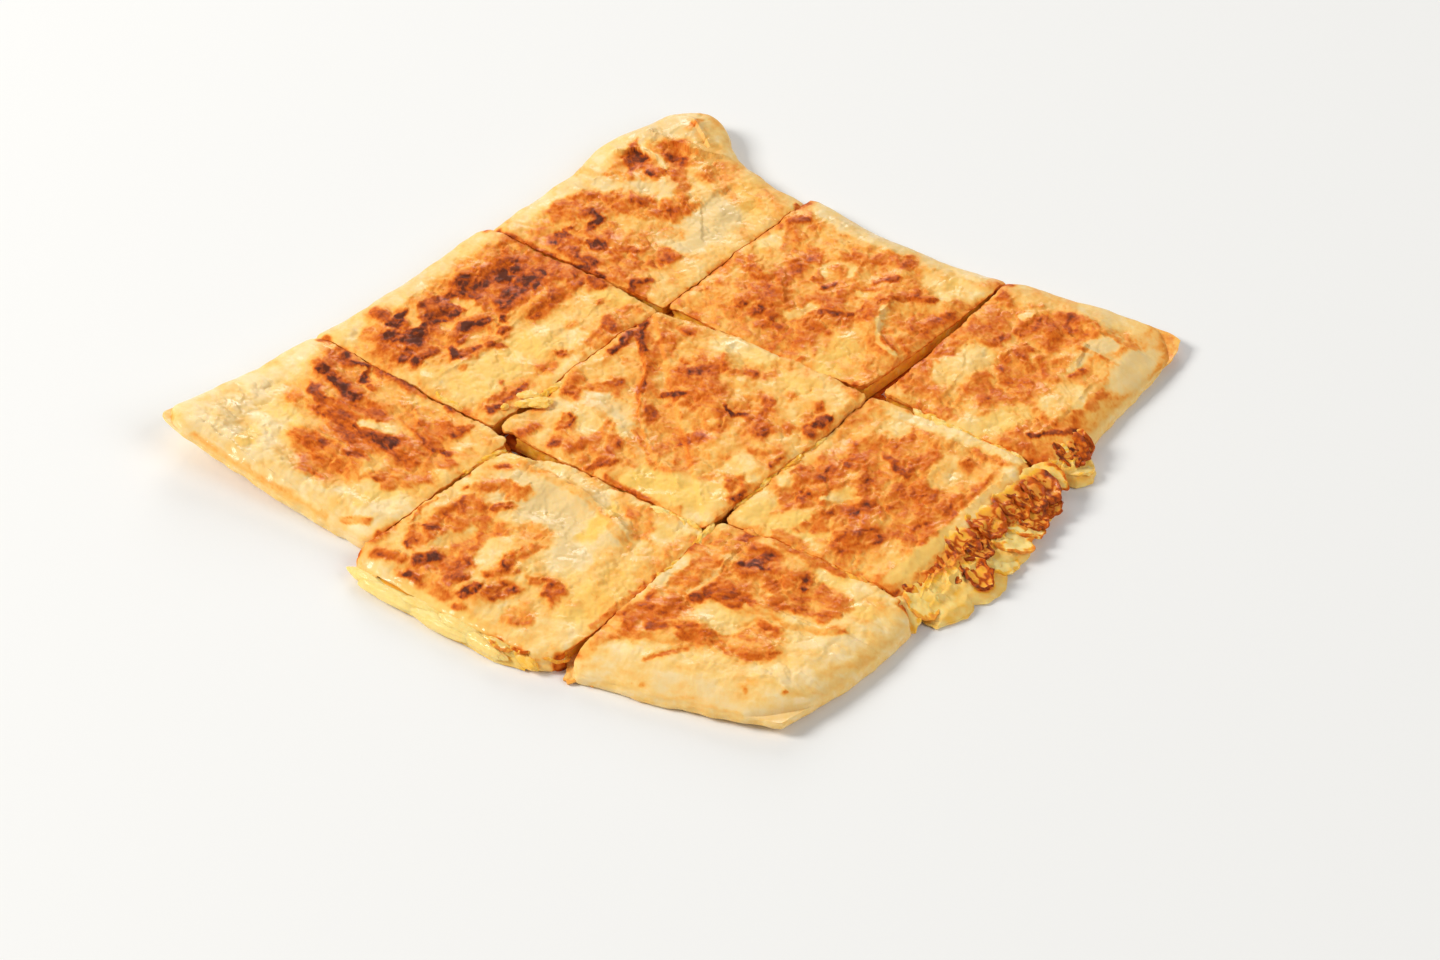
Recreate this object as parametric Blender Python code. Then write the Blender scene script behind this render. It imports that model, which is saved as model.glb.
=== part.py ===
"""Murtabak: a flatbread folded round an egg filling, fried and cut into nine slices.

Lengths are in millimetres, and MM turns them into metres. X runs along the front edge, Y towards the back
and Z up. The origin is on the ground under the middle of the bread. Eight slices carry some of the bread's
rim: their dough is a wrapper, closed along the rim and open where the knife went, and the egg runs through
it. The centre slice has no rim, so its dough is one sheet under the egg and one over it.
"""
import math
from typing import NamedTuple

import bmesh
import bpy
from mathutils import Matrix, Vector, noise

MM = 0.001

# Heights and thicknesses of the folded bread
TOP = 7.5
UNDER_DOUGH = 1.0
OVER_DOUGH = 1.3
RIM_WALL = 3.0
GAP = 0.35
CUT_RECESS = 0.25
CUT_OVERSHOOT = 2.0

# A curled corner: how the bend grows along it, and how much of it the top follows, as the corner is thin
BEND_CURVE = 1.4
TOP_FOLLOWS = 0.7

# The rounded rim: how wide its shoulder is, and the small turn under it
SHOULDER = 3.5
FOOT_HEIGHT = 1.3
FOOT_INSET = 1.2

# Unevenness of the fried top: puffs as wide as a thumb, and finer lumps on them
FLAP_EDGE = 4.0
PUFF_HEIGHT = 0.8
PUFF_WIDTH = 24.0
LUMP_HEIGHT = 0.35
LUMP_WIDTH = 8.0

# The opening in a rim that egg ran out by, and the fried edge of egg outside it
MOUTH_DEPTH = 8.0
MOUTH_FLOOR = UNDER_DOUGH + 0.1
MOUTH_TOP = TOP - OVER_DOUGH - 0.9
MOUTH_SIDE = GAP + 0.1
LIP_CLEARANCE = 0.45
SKIRT = (1.0, 2.2)
LONG_REACH = 3.3
EDGE_THICKNESS = 1.8
EDGE_LUMP = 1.1
EDGE_LUMP_WIDTH = 3.5
LOBE_DEPTH = 0.13
LOBE_BEAT = 2.3
TAPER_SHARE = 1.0 / 6.0
TAPER_DEPTH = 0.2
GROUND_GAP = 0.3

# The curd of egg on the cut behind the centre slice, and how it is turned, lumped and raised
SCRAP_PLACE = (-27.5, 32.5)
SCRAP_SIZE = (10.5, 6.5, 3.0)
SCRAP_TURN = -50.0
SCRAP_LUMP = 0.35
SCRAP_FLAT = 0.3
SCRAP_CLEARANCE = 1.3

# Layers of the noise that the puffs, the lumps and the egg's edge are read from
PUFF_LAYER = 0.0
LUMP_LAYER = 50.0
EDGE_LAYER = 9.0

# Spacing of the modelled faces, and the angle below which an underside counts as flat
TOP_SPACING = 4.8
FILLING_SPACING = 12.0
OOZE_SPACING = 3.0
SHOULDER_LINES = (0.0, 0.7, 2.0, 4.2)
FLAT_ANGLE = 0.3

FRONT, RIGHT, BACK, LEFT = range(4)


class Fold(NamedTuple):
    """A crease of dough that stands proud along a line."""
    start: tuple
    end: tuple
    width: float
    height: float


class Flap(NamedTuple):
    """An upper layer of dough that lies to the left of a line."""
    start: tuple
    end: tuple
    height: float


class Lift(NamedTuple):
    """A corner that curls up, to the left of a bend line, by a height at a reach from that line."""
    start: tuple
    end: tuple
    height: float
    reach: float


class Ooze(NamedTuple):
    """Egg that ran out through an open stretch of the rim and fried there."""
    side: int
    start: float
    end: float
    spread: float
    reach: float
    height: float
    lobes: int


class Slice(NamedTuple):
    """Corners run front left, front right, back right, back left, and bulges front, right, back, left."""
    corners: tuple
    rim: tuple
    bulges: tuple
    round_corners: tuple = (2.0, 2.0, 2.0, 2.0)
    lift: Lift = None
    relief: tuple = ()
    ooze: Ooze = None


SLICES = {
    "back_left": Slice(
        corners=((-98.0, 33.4), (-44.5, 29.4), (-39.8, 104.0), (-98.5, 110.5)),
        rim=(BACK, LEFT),
        bulges=(-0.4, -0.8, 1.6, 0.8),
        round_corners=(4.0, 3.0, 2.0, 5.0),
        lift=Lift(start=(-98, 42), end=(-60, 106), height=11.0, reach=35.0),
        relief=(Fold((-92, 40), (-91, 96), 4, 0.9), Fold((-80, 48), (-77, 76), 4, 0.7),
                Fold((-67, 42), (-61, 86), 5, 0.8), Fold((-54, 68), (-50, 94), 4, 0.7)),
    ),
    "back_middle": Slice(
        corners=((-41.2, 36.8), (27.5, 31.4), (29.0, 97.3), (-38.4, 103.5)),
        rim=(BACK,),
        bulges=(0.0, 0.0, -1.2, 0.2),
        relief=(Fold((-33, 74), (-16, 90), 5, 0.6), Fold((0, 84), (24, 88), 4, 0.5),
                Fold((2, 63), (24, 58), 4, 0.5)),
    ),
    "back_right": Slice(
        corners=((31.2, 31.2), (96.5, 27.4), (116.5, 84.8), (31.4, 94.8)),
        rim=(RIGHT, BACK),
        bulges=(0.4, -5.0, 1.5, 0.0),
        round_corners=(2.0, 3.0, 13.0, 2.0),
        lift=Lift(start=(80, 95), end=(101, 55), height=4.0, reach=25.0),
        relief=(Fold((66, 68), (80, 86), 4, 0.9), Fold((72, 58), (94, 84), 4, 1.3),
                Fold((84, 54), (103, 76), 4, 1.3), Fold((48, 84), (62, 62), 5, 0.6)),
    ),
    "middle_left": Slice(
        corners=((-108.0, -36.6), (-42.6, -38.2), (-46.6, 26.2), (-107.5, 33.2)),
        rim=(LEFT,),
        bulges=(1.4, 2.0, -0.3, 2.0),
        round_corners=(6.0, 2.0, 3.0, 4.0),
        relief=(Fold((-50, 18), (-53, -3), 4, 0.9), Fold((-53, -3), (-59, -22), 4, 1.1),
                Fold((-98, -3), (-70, -4), 5, 0.5), Fold((-101, 18), (-100, 4), 6, 0.6)),
        ooze=Ooze(LEFT, start=10.0, end=60.0, spread=0.0, reach=1.8, height=4.6, lobes=6),
    ),
    "middle_right": Slice(
        corners=((35.0, -38.4), (100.0, -42.5), (100.0, 26.0), (32.4, 28.8)),
        rim=(RIGHT,),
        bulges=(0.8, -3.4, -0.3, 0.8),
        relief=(Fold((51, -36), (57, -24), 3, 0.8), Fold((57, -24), (70, -23), 3, 0.8),
                Fold((70, -23), (79, -37), 3, 0.8), Fold((44, 2), (58, 14), 4, 0.6)),
    ),
    "front_left": Slice(
        corners=((-87.5, -98.5), (-34.4, -104.0), (-37.0, -40.4), (-104.0, -41.4)),
        rim=(FRONT, LEFT),
        bulges=(2.4, 2.0, -0.1, 0.8),
        round_corners=(6.0, 6.0, 2.0, 3.0),
        lift=Lift(start=(-62, -100), end=(-97, -66), height=2.0, reach=17.0),
        relief=(Flap((-54, -96), (-62, -44), 0.8), Fold((-80, -60), (-70, -84), 5, 0.6),
                Fold((-96, -52), (-84, -90), 5, 0.5)),
    ),
    "front_middle": Slice(
        corners=((-30.6, -97.0), (33.6, -98.4), (31.6, -44.4), (-34.8, -40.8)),
        rim=(FRONT,),
        bulges=(0.0, 1.2, 0.0, -0.9),
        relief=(Fold((-28, -90), (30, -93), 5, 0.5), Fold((-28, -74), (-14, -76), 5, 0.5)),
        ooze=Ooze(FRONT, start=6.0, end=58.0, spread=7.0, reach=15.5, height=4.8, lobes=9),
    ),
    "front_right": Slice(
        corners=((37.5, -98.2), (107.5, -97.0), (102.2, -45.4), (36.2, -44.8)),
        rim=(FRONT, RIGHT),
        bulges=(1.4, 1.6, -0.4, 0.2),
        round_corners=(3.0, 7.0, 3.0, 2.0),
        lift=Lift(start=(104, -62), end=(72, -98), height=3.0, reach=26.0),
        relief=(Fold((86, -78), (86, -92), 3, 0.8), Fold((97, -74), (95, -91), 3, 0.9),
                Fold((58, -60), (72, -52), 4, 0.5)),
        ooze=Ooze(FRONT, start=3.0, end=15.0, spread=3.0, reach=11.0, height=4.4, lobes=3),
    ),
    "centre": Slice(
        corners=((-40.8, -37.0), (30.2, -41.8), (25.5, 29.6), (-41.4, 28.5)),
        rim=(),
        bulges=(0.3, 3.0, 3.0, -0.2),
        relief=(Flap((23, 28), (-33, -30), 0.9), Fold((-32, 12), (-24, 24), 4, 0.5),
                Fold((0, -14), (14, 4), 5, 0.4)),
    ),
}


def smoothstep(value):
    """Rise softly from 0 to 1."""
    value = min(max(value, 0.0), 1.0)
    return value * value * (3.0 - 2.0 * value)


def mix(low, high, share):
    """Value at a share of the way from low to high."""
    return low + (high - low) * share


def plan(piece, u, v):
    """Place on the ground of a point at shares u of the way right and v of the way back."""
    fl, fr, br, bl = (Vector(corner) for corner in piece.corners)
    place = mix(mix(fl, fr, u), mix(bl, br, u), v)
    sides = ((fl, fr, u, 1.0 - v), (fr, br, v, u), (br, bl, 1.0 - u, v), (bl, fl, 1.0 - v, 1.0 - u))
    for bulge, (start, end, along, weight) in zip(piece.bulges, sides):
        run = (end - start).normalized()
        outward = Vector((run.y, -run.x))
        place += outward * bulge * 4.0 * along * (1.0 - along) * weight
    return place


def spans(piece):
    """Mean width along X and mean depth along Y of a slice."""
    fl, fr, br, bl = (Vector(corner) for corner in piece.corners)
    return ((fr - fl).length + (br - bl).length) / 2.0, ((bl - fl).length + (br - fr).length) / 2.0


def soften(x, y, width, depth, radii):
    """Pull a rectangle's corners in to round ones, x and y being distances from its front left corner."""
    corners = ((0, 0), (1, 0), (1, 1), (0, 1))
    for radius, (right, back) in zip(radii, corners):
        from_x = width - x if right else x
        from_y = depth - y if back else y
        if radius <= 0.0 or not (0.0 <= from_x < radius and 0.0 <= from_y < radius):
            continue
        part_x = 1.0 - from_x / radius
        part_y = 1.0 - from_y / radius
        new_x = radius - radius * part_x * math.sqrt(1.0 - part_y * part_y / 2.0)
        new_y = radius - radius * part_y * math.sqrt(1.0 - part_x * part_x / 2.0)
        return (width - new_x if right else new_x), (depth - new_y if back else new_y)
    return x, y


def left_of(line, place):
    """Distance of a place to the left of a line that runs from its start to its end."""
    start = Vector(line.start)
    run = Vector(line.end) - start
    return (run.x * (place.y - start.y) - run.y * (place.x - start.x)) / run.length


def lift_at(piece, place):
    """Height by which a curling corner raises the underside here."""
    if piece.lift is None:
        return 0.0
    beyond = left_of(piece.lift, place) / piece.lift.reach
    return piece.lift.height * max(beyond, 0.0) ** BEND_CURVE


def puff_at(place):
    """Broad unevenness of the top."""
    return PUFF_HEIGHT * noise.noise(Vector((place.x, place.y, PUFF_LAYER)) / PUFF_WIDTH)


def relief_at(piece, place):
    """Lumps, creases and flaps on the top of a slice."""
    height = LUMP_HEIGHT * noise.noise(Vector((place.x, place.y, LUMP_LAYER)) / LUMP_WIDTH)
    for form in piece.relief:
        start = Vector(form.start)
        run = Vector(form.end) - start
        if isinstance(form, Fold):
            along = min(max((place - start).dot(run) / run.length_squared, 0.0), 1.0)
            away = (place - start - run * along).length
            height += form.height * math.exp(-(away / form.width) ** 2)
        else:
            height += form.height * smoothstep(0.5 + left_of(form, place) / FLAP_EDGE)
    return height


def shoulder_drop(from_rims):
    """Fall of the top towards the rim, from the distances to the rims of the slice."""
    near = [max(SHOULDER - distance, 0.0) for distance in from_rims]
    out = min(math.sqrt(sum(part * part for part in near)), SHOULDER)
    return SHOULDER - math.sqrt(SHOULDER * SHOULDER - out * out)


def rim_distances(piece, x, y, width, depth):
    """Distances from a point to those sides of its slice that are rim."""
    distances = {FRONT: y, RIGHT: width - x, BACK: depth - y, LEFT: x}
    return [distances[side] for side in piece.rim]


def lines(length, spacing, low_rim, high_rim):
    """Places of the grid lines across a slice, closer together on a rim's shoulder."""
    low = list(SHOULDER_LINES) if low_rim else [0.0]
    high = [length - place for place in reversed(SHOULDER_LINES)] if high_rim else [length]
    steps = max(round((high[0] - low[-1]) / spacing), 1)
    inner = [mix(low[-1], high[0], step / steps) for step in range(1, steps)]
    return low + inner + high


def grid(bm, xs, ys, place):
    """Add a grid of faces whose corners are place(x, y) for each line x and y."""
    columns = len(xs) - 1
    rows = len(ys) - 1
    made = bmesh.ops.create_grid(bm, x_segments=columns, y_segments=rows, size=0.5)["verts"]
    for vert in made:
        x = xs[round((vert.co.x + 0.5) * columns)]
        y = ys[round((vert.co.y + 0.5) * rows)]
        vert.co = place(x, y)
    return made


def open_edges(bm, verts):
    """Edges on the outline of a grid."""
    inside = set(verts)
    return [edge for edge in bm.edges if len(edge.link_faces) == 1 and set(edge.verts) <= inside]


def close_body(bm, upper, lower, foot=None):
    """Join the outlines of two grids by a wall, with the lower outline stepped out to foot first."""
    upper_edges = open_edges(bm, upper)
    lower_edges = open_edges(bm, lower)
    flat = [edge for edge in bm.edges if len(edge.link_faces) == 2 and set(edge.verts) <= set(lower)]
    if foot is not None:
        around = bmesh.ops.extrude_edge_only(bm, edges=lower_edges)["geom"]
        for vert in (item for item in around if isinstance(item, bmesh.types.BMVert)):
            vert.co = foot(vert.co)
        lower_edges = [item for item in around if isinstance(item, bmesh.types.BMEdge)]
    bmesh.ops.bridge_loops(bm, edges=upper_edges + lower_edges)
    bmesh.ops.dissolve_limit(bm, angle_limit=math.radians(FLAT_ANGLE), verts=[], edges=flat)
    loose = [vert for vert in bm.verts if not vert.link_faces]
    bmesh.ops.delete(bm, geom=loose, context="VERTS")
    bmesh.ops.triangulate(bm, faces=bm.faces, quad_method="FIXED")
    bmesh.ops.recalc_face_normals(bm, faces=bm.faces)


def to_object(name, bm, material):
    """Turn a mesh in millimetres into a named object in metres."""
    bmesh.ops.scale(bm, vec=(MM, MM, MM), verts=bm.verts)
    mesh = bpy.data.meshes.new(name)
    bm.to_mesh(mesh)
    bm.free()
    mesh.materials.append(material)
    made = bpy.data.objects.new(name, mesh)
    bpy.context.scene.collection.objects.link(made)
    return made


def block(piece, under, over):
    """Whole outer form of a slice of dough between two heights; over(place) is added to the lift."""
    width, depth = spans(piece)
    xs = lines(width, TOP_SPACING, LEFT in piece.rim, RIGHT in piece.rim)
    ys = lines(depth, TOP_SPACING, FRONT in piece.rim, BACK in piece.rim)

    def outline(x, y, inset):
        left = inset if LEFT in piece.rim else 0.0
        right = inset if RIGHT in piece.rim else 0.0
        front = inset if FRONT in piece.rim else 0.0
        back = inset if BACK in piece.rim else 0.0
        x, y = soften(x, y, width, depth, piece.round_corners)
        x = mix(left, width - right, x / width)
        y = mix(front, depth - back, y / depth)
        return plan(piece, x / width, y / depth)

    def top_place(x, y):
        place = outline(x, y, 0.0)
        drop = shoulder_drop(rim_distances(piece, x, y, width, depth))
        return Vector((*place, over(place) - drop + TOP_FOLLOWS * lift_at(piece, place)))

    def foot_place(x, y):
        place = outline(x, y, FOOT_INSET)
        return Vector((*place, under + lift_at(piece, place)))

    bm = bmesh.new()
    upper = grid(bm, xs, ys, top_place)
    lower = grid(bm, xs, ys, foot_place)
    feet = {foot_place(x, y).to_tuple(3): outline(x, y, 0.0) for x in xs for y in ys}

    def foot(corner):
        place = feet[corner.to_tuple(3)]
        return Vector((*place, under + FOOT_HEIGHT + lift_at(piece, place)))

    close_body(bm, upper, lower, foot if piece.rim else None)
    return bm


def slab(piece, grow, cut_inset):
    """The filling's form inside a slice, larger by grow all round; cut_inset is left at each cut."""
    width, depth = spans(piece)
    inset = {side: RIM_WALL + GAP - grow if side in piece.rim else cut_inset for side in range(4)}
    inner_width = width - inset[LEFT] - inset[RIGHT]
    inner_depth = depth - inset[FRONT] - inset[BACK]
    pairs = ((FRONT, LEFT), (FRONT, RIGHT), (BACK, RIGHT), (BACK, LEFT))
    radii = [max(radius - RIM_WALL, 0.0) if set(pair) <= set(piece.rim) else 0.0
             for radius, pair in zip(piece.round_corners, pairs)]
    xs = [inset[LEFT], *lines(width, FILLING_SPACING, False, False)[1:-1], width - inset[RIGHT]]
    ys = [inset[FRONT], *lines(depth, FILLING_SPACING, False, False)[1:-1], depth - inset[BACK]]

    def outline(x, y):
        x, y = soften(x - inset[LEFT], y - inset[FRONT], inner_width, inner_depth, radii)
        return plan(piece, (x + inset[LEFT]) / width, (y + inset[FRONT]) / depth)

    def top_place(x, y):
        place = outline(x, y)
        height = TOP - OVER_DOUGH - GAP + grow + puff_at(place)
        return Vector((*place, height + TOP_FOLLOWS * lift_at(piece, place)))

    def under_place(x, y):
        place = outline(x, y)
        return Vector((*place, UNDER_DOUGH + GAP - grow + lift_at(piece, place)))

    bm = bmesh.new()
    upper = grid(bm, xs, ys, top_place)
    lower = grid(bm, xs, ys, under_place)
    close_body(bm, upper, lower)
    return bm


def beside(piece, side, along, inward):
    """Place a distance along a side from its start and a distance inward from it."""
    width, depth = spans(piece)
    if side == FRONT:
        return plan(piece, along / width, inward / depth)
    return plan(piece, inward / width, 1.0 - along / depth)


def neck(piece, ooze):
    """Cutter that opens the rim where the egg ran out."""
    steps = round((ooze.end - ooze.start) / OOZE_SPACING)
    along = [mix(ooze.start, ooze.end, step / steps) for step in range(steps + 1)]
    across = [ooze.start - MOUTH_SIDE, *along, ooze.end + MOUTH_SIDE]
    inward = (-CUT_OVERSHOOT, MOUTH_DEPTH)

    def face(height):
        return lambda x, y: Vector((*beside(piece, ooze.side, x, y), height))

    bm = bmesh.new()
    upper = grid(bm, across, inward, face(MOUTH_TOP))
    lower = grid(bm, across, inward, face(MOUTH_FLOOR))
    close_body(bm, upper, lower)
    return bm


def frill(piece, ooze):
    """Egg in the opening and its lobed, lumpy edge outside the rim."""
    columns = round((ooze.end - ooze.start) / OOZE_SPACING)
    rows = [MOUTH_DEPTH - GAP, SKIRT[0], -LIP_CLEARANCE, -SKIRT[0], -SKIRT[1]]
    if ooze.reach > LONG_REACH:
        rows += [-mix(SKIRT[1], ooze.reach, share) for share in (0.5, 1.0)]

    def spot(x, y):
        share = x / columns
        outside = y < -LIP_CLEARANCE
        spread = ooze.spread if outside else 0.0
        beat = math.sin(math.pi * ooze.lobes * share) * math.sin(LOBE_BEAT * ooze.lobes * share)
        ends = smoothstep(share / TAPER_SHARE) * smoothstep((1.0 - share) / TAPER_SHARE)
        inward = y
        if y < -SKIRT[0]:
            inward *= (1.0 - LOBE_DEPTH + LOBE_DEPTH * beat) * mix(1.0 - TAPER_DEPTH, 1.0, ends)
        along = mix(ooze.start - spread, ooze.end + spread, share)
        return beside(piece, ooze.side, along, inward)

    def top_place(x, y):
        place = spot(x, y)
        if y >= -LIP_CLEARANCE:
            return Vector((*place, MOUTH_TOP - GAP))
        lump = EDGE_LUMP * noise.noise(Vector((place.x, place.y, EDGE_LAYER)) / EDGE_LUMP_WIDTH)
        return Vector((*place, mix(ooze.height, EDGE_THICKNESS, -y / ooze.reach) + lump))

    def under_place(x, y):
        low = MOUTH_FLOOR + GAP if y >= -LIP_CLEARANCE else GROUND_GAP
        return Vector((*spot(x, y), low))

    bm = bmesh.new()
    xs = list(range(columns + 1))
    upper = grid(bm, xs, rows, top_place)
    lower = grid(bm, xs, rows, under_place)
    close_body(bm, upper, lower)
    return bm


def boolean(body, other, operation):
    """Cut or join another body, which stays as a hidden guide."""
    other.hide_render = True
    other.display_type = "WIRE"
    modifier = body.modifiers.new(operation.title(), "BOOLEAN")
    modifier.operation = operation
    modifier.object = other


def principled(name, colour, roughness):
    """A plain shaded material."""
    material = bpy.data.materials.new(name)
    material.use_nodes = True
    shader = material.node_tree.nodes["Principled BSDF"]
    shader.inputs["Base Color"].default_value = (*colour, 1.0)
    shader.inputs["Roughness"].default_value = roughness
    shader.inputs["Metallic"].default_value = 0.0
    material.diffuse_color = (*colour, 1.0)
    return material


def fried_top(piece):
    """Height of the dough's upper face over the ground, before any lift."""
    return lambda place: TOP + puff_at(place) + relief_at(piece, place)


def make_wrapper(name, piece, material):
    """Dough of a slice that has some rim: an outer form with the room for the egg cut out of it."""
    made = to_object(f"{name}_dough", block(piece, 0.0, fried_top(piece)), material)
    pocket = to_object(f"{name}_pocket", slab(piece, GAP, -CUT_OVERSHOOT), material)
    boolean(made, pocket, "DIFFERENCE")
    if piece.ooze is not None:
        mouth = to_object(f"{name}_mouth", neck(piece, piece.ooze), material)
        boolean(made, mouth, "DIFFERENCE")
    return made


def make_filling(name, piece, material):
    """Egg that runs through a slice, and out of its rim where that is open."""
    made = to_object(f"{name}_filling", slab(piece, 0.0, CUT_RECESS), material)
    if piece.ooze is not None:
        run_out = to_object(f"{name}_run_out", frill(piece, piece.ooze), material)
        boolean(made, run_out, "UNION")
    return made


def sheet(piece, under, over):
    """A layer between two heights that fills the whole outline of a slice."""
    width, depth = spans(piece)
    xs = lines(width, TOP_SPACING, False, False)
    ys = lines(depth, TOP_SPACING, False, False)

    def face(height):
        def place_at(x, y):
            x, y = soften(x, y, width, depth, piece.round_corners)
            place = plan(piece, x / width, y / depth)
            return Vector((*place, height(place)))
        return place_at

    bm = bmesh.new()
    upper = grid(bm, xs, ys, face(over))
    lower = grid(bm, xs, ys, face(under))
    close_body(bm, upper, lower)
    return bm


def make_centre_sheets(piece, material):
    """Dough under and over the egg of the slice that is cut on all four sides."""
    under = sheet(piece, lambda place: 0.0, lambda place: UNDER_DOUGH)
    over = sheet(piece, lambda place: TOP - OVER_DOUGH + puff_at(place), fried_top(piece))
    return [to_object("centre_bottom_dough", under, material), to_object("centre_top_dough", over, material)]


def make_scrap(material):
    """Curd of egg that fell across the cut behind the centre slice."""
    bm = bmesh.new()
    bmesh.ops.create_icosphere(bm, subdivisions=2, radius=0.5)
    for vert in bm.verts:
        vert.co *= 1.0 + SCRAP_LUMP * noise.noise(vert.co * 4.0 + Vector((3.0, 1.0, 2.0)))
        vert.co.z = max(vert.co.z, -SCRAP_FLAT)
    height = TOP + SCRAP_CLEARANCE + SCRAP_FLAT * SCRAP_SIZE[2]
    stand = Matrix.Translation((*SCRAP_PLACE, height))
    turn = Matrix.Rotation(math.radians(SCRAP_TURN), 4, "Z")
    bmesh.ops.transform(bm, matrix=stand @ turn @ Matrix.Diagonal((*SCRAP_SIZE, 1.0)), verts=bm.verts)
    return to_object("egg_scrap", bm, material)


def stand_at_origin(bodies):
    """Move the bread so that the ground under its middle is the origin."""
    bpy.context.view_layer.update()
    graph = bpy.context.evaluated_depsgraph_get()
    corners = [vert.co.copy() for body in bodies for vert in body.evaluated_get(graph).data.vertices]
    low = Vector(min(corner[axis] for corner in corners) for axis in range(3))
    high = Vector(max(corner[axis] for corner in corners) for axis in range(3))
    shift = -Vector(((low.x + high.x) / 2.0, (low.y + high.y) / 2.0, low.z))
    for item in bpy.context.scene.objects:
        item.location = shift
    print("bread moved by", [round(part / MM, 3) for part in shift], "size",
          [round(part / MM, 2) for part in high - low])


def main():
    for old in list(bpy.data.objects):
        bpy.data.objects.remove(old, do_unlink=True)
    dough = principled("fried_dough", (0.78, 0.42, 0.13), 0.5)
    egg = principled("egg_filling", (0.86, 0.62, 0.16), 0.45)
    bodies = []
    for name, piece in SLICES.items():
        if piece.rim:
            bodies.append(make_wrapper(name, piece, dough))
        else:
            bodies.extend(make_centre_sheets(piece, dough))
        bodies.append(make_filling(name, piece, egg))
    bodies.append(make_scrap(egg))
    stand_at_origin(bodies)


main()
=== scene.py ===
"""Looks of a murtabak: fried dough round an egg filling, cut into nine slices that lie together.

The tables of places are in millimetres in the bread's own plan, in which X runs right along the front edge
and Y towards the back edge. to_frame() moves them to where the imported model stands.
"""
import math
from typing import NamedTuple

import bpy
import numpy as np
from bpy.props import FloatProperty, FloatVectorProperty, IntProperty, PointerProperty
from mathutils import Matrix, Vector, noise


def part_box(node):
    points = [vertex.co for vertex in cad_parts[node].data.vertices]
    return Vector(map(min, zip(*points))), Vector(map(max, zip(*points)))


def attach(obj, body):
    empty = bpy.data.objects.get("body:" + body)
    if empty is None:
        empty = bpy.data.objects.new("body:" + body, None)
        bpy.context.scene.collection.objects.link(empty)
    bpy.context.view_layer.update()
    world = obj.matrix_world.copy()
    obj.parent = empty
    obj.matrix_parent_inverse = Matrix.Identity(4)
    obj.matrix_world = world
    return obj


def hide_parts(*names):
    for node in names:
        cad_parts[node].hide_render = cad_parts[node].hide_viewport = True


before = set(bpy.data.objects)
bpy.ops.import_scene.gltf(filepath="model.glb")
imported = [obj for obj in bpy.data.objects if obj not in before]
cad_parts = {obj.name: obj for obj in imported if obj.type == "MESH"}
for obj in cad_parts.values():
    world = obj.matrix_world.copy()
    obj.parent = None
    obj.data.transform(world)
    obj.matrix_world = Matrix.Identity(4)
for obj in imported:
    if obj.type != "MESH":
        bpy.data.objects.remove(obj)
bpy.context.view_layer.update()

bl_info = {
    "name": "Murtabak",
    "version": (1, 0, 0),
    "blender": (4, 5, 0),
    "location": "View3D > Sidebar > Murtabak",
    "description": "Models and paints a sliced, fried murtabak round its packed solids",
    "category": "Add Mesh",
}

MM = 0.001

# Heights, thicknesses and noise of the folded bread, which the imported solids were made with
TOP = 7.5
UNDER_DOUGH = 1.0
OVER_DOUGH = 1.3
RIM_WALL = 5.0
GAP = 0.35
CUT_RECESS = 0.25
CUT_OVERSHOOT = 3.0
BEND_CURVE = 1.4
TOP_FOLLOWS = 0.7
MOUTH_FALL = 2.2
FOOT_HEIGHT = 1.3
FOOT_INSET = 1.2
FLAP_EDGE = 1.6
PUFF_HEIGHT = 0.8
PUFF_WIDTH = 24.0
PUFF_LAYER = 0.0
LUMP_HEIGHT = 0.35
LUMP_WIDTH = 8.0
LUMP_LAYER = 50.0
POCKET_SPACING = 8.0

# Grid lines of a slice: how many bend over a rim's shoulder, how wide it is, and steps along a measured edge
SHOULDER_LINES = 22
SHOULDER_WIDTH = 8.0
EDGE_STEPS = 81

# Cuts: how far they stand apart, how far a slice's middle is from one, from what width one is a hole, how far
# the skin spreads into that, and how far in from a side its unevenness reaches
CUT_GRID = 70.0
HALF_SLICE = 33.0
HOLE_WIDTH = 3.3
HOLE_SPREAD = 0.35
STRAY_REACH = 2.5

# The opening in a rim that egg ran out by
MOUTH_DEPTH = 8.0
MOUTH_FLOOR = UNDER_DOUGH + 0.1
MOUTH_TOP = TOP - OVER_DOUGH - 0.9
MOUTH_SIDE = GAP + 0.1
MOUTH_SPACING = 3.0
MOUTH_BLEND = 5.0

# How far a point of the bread seems to move in plan for each millimetre that it stands above the fried top
SIGHT_SLOPE = np.array((0.94, 0.69))

# Browning, from 0 for cream dough to 1 for black: the ring round a dark mark and how strong it is, where
# browned skin starts and how soon it is fully browned, how far lace, blisters and specks change it, the
# painted shade that darkens a cut's faces deeper down, and how brown the underside of a rim is
HALO_TONE = 0.54
HALO_SHARE = 0.75
BROWNED_FROM = 0.26
BROWNED_OVER = 0.25
LACE_TONE = 0.07
BLISTER_TONE = 0.16
SPECK_TONE = 0.24
CUT_SHADE_TONE = 0.78
RIM_TONE = 0.16

# Heights at which one leaf of dough ends on the next, as levels of the noise that lays them out
LEAF_LEVELS = (-0.45, -0.12, 0.2, 0.5)

# Egg: rows of faces down its sides, the rings that close its underside and its browning inside a slice
EGG_WALLS = 8
EGG_RINGS = (0.95, 0.75, 0.4)
EGG_TONE = 0.36

# Egg outside a rim: spacing of its points, rows down its side, rings under it, the width of its lobes and of
# its curds, and the heights of its edge, of its foot and of the part inside the rim
APRON_SPACING = 0.36
APRON_WALLS = 5
APRON_RINGS = (0.93, 0.7, 0.4)
LOBE_WIDTH = 17.0
CURD_WIDTH = 3.6
APRON_EDGE = 2.6
APRON_FOOT = 0.35
APRON_INSIDE = (1.6, 4.7)

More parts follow.
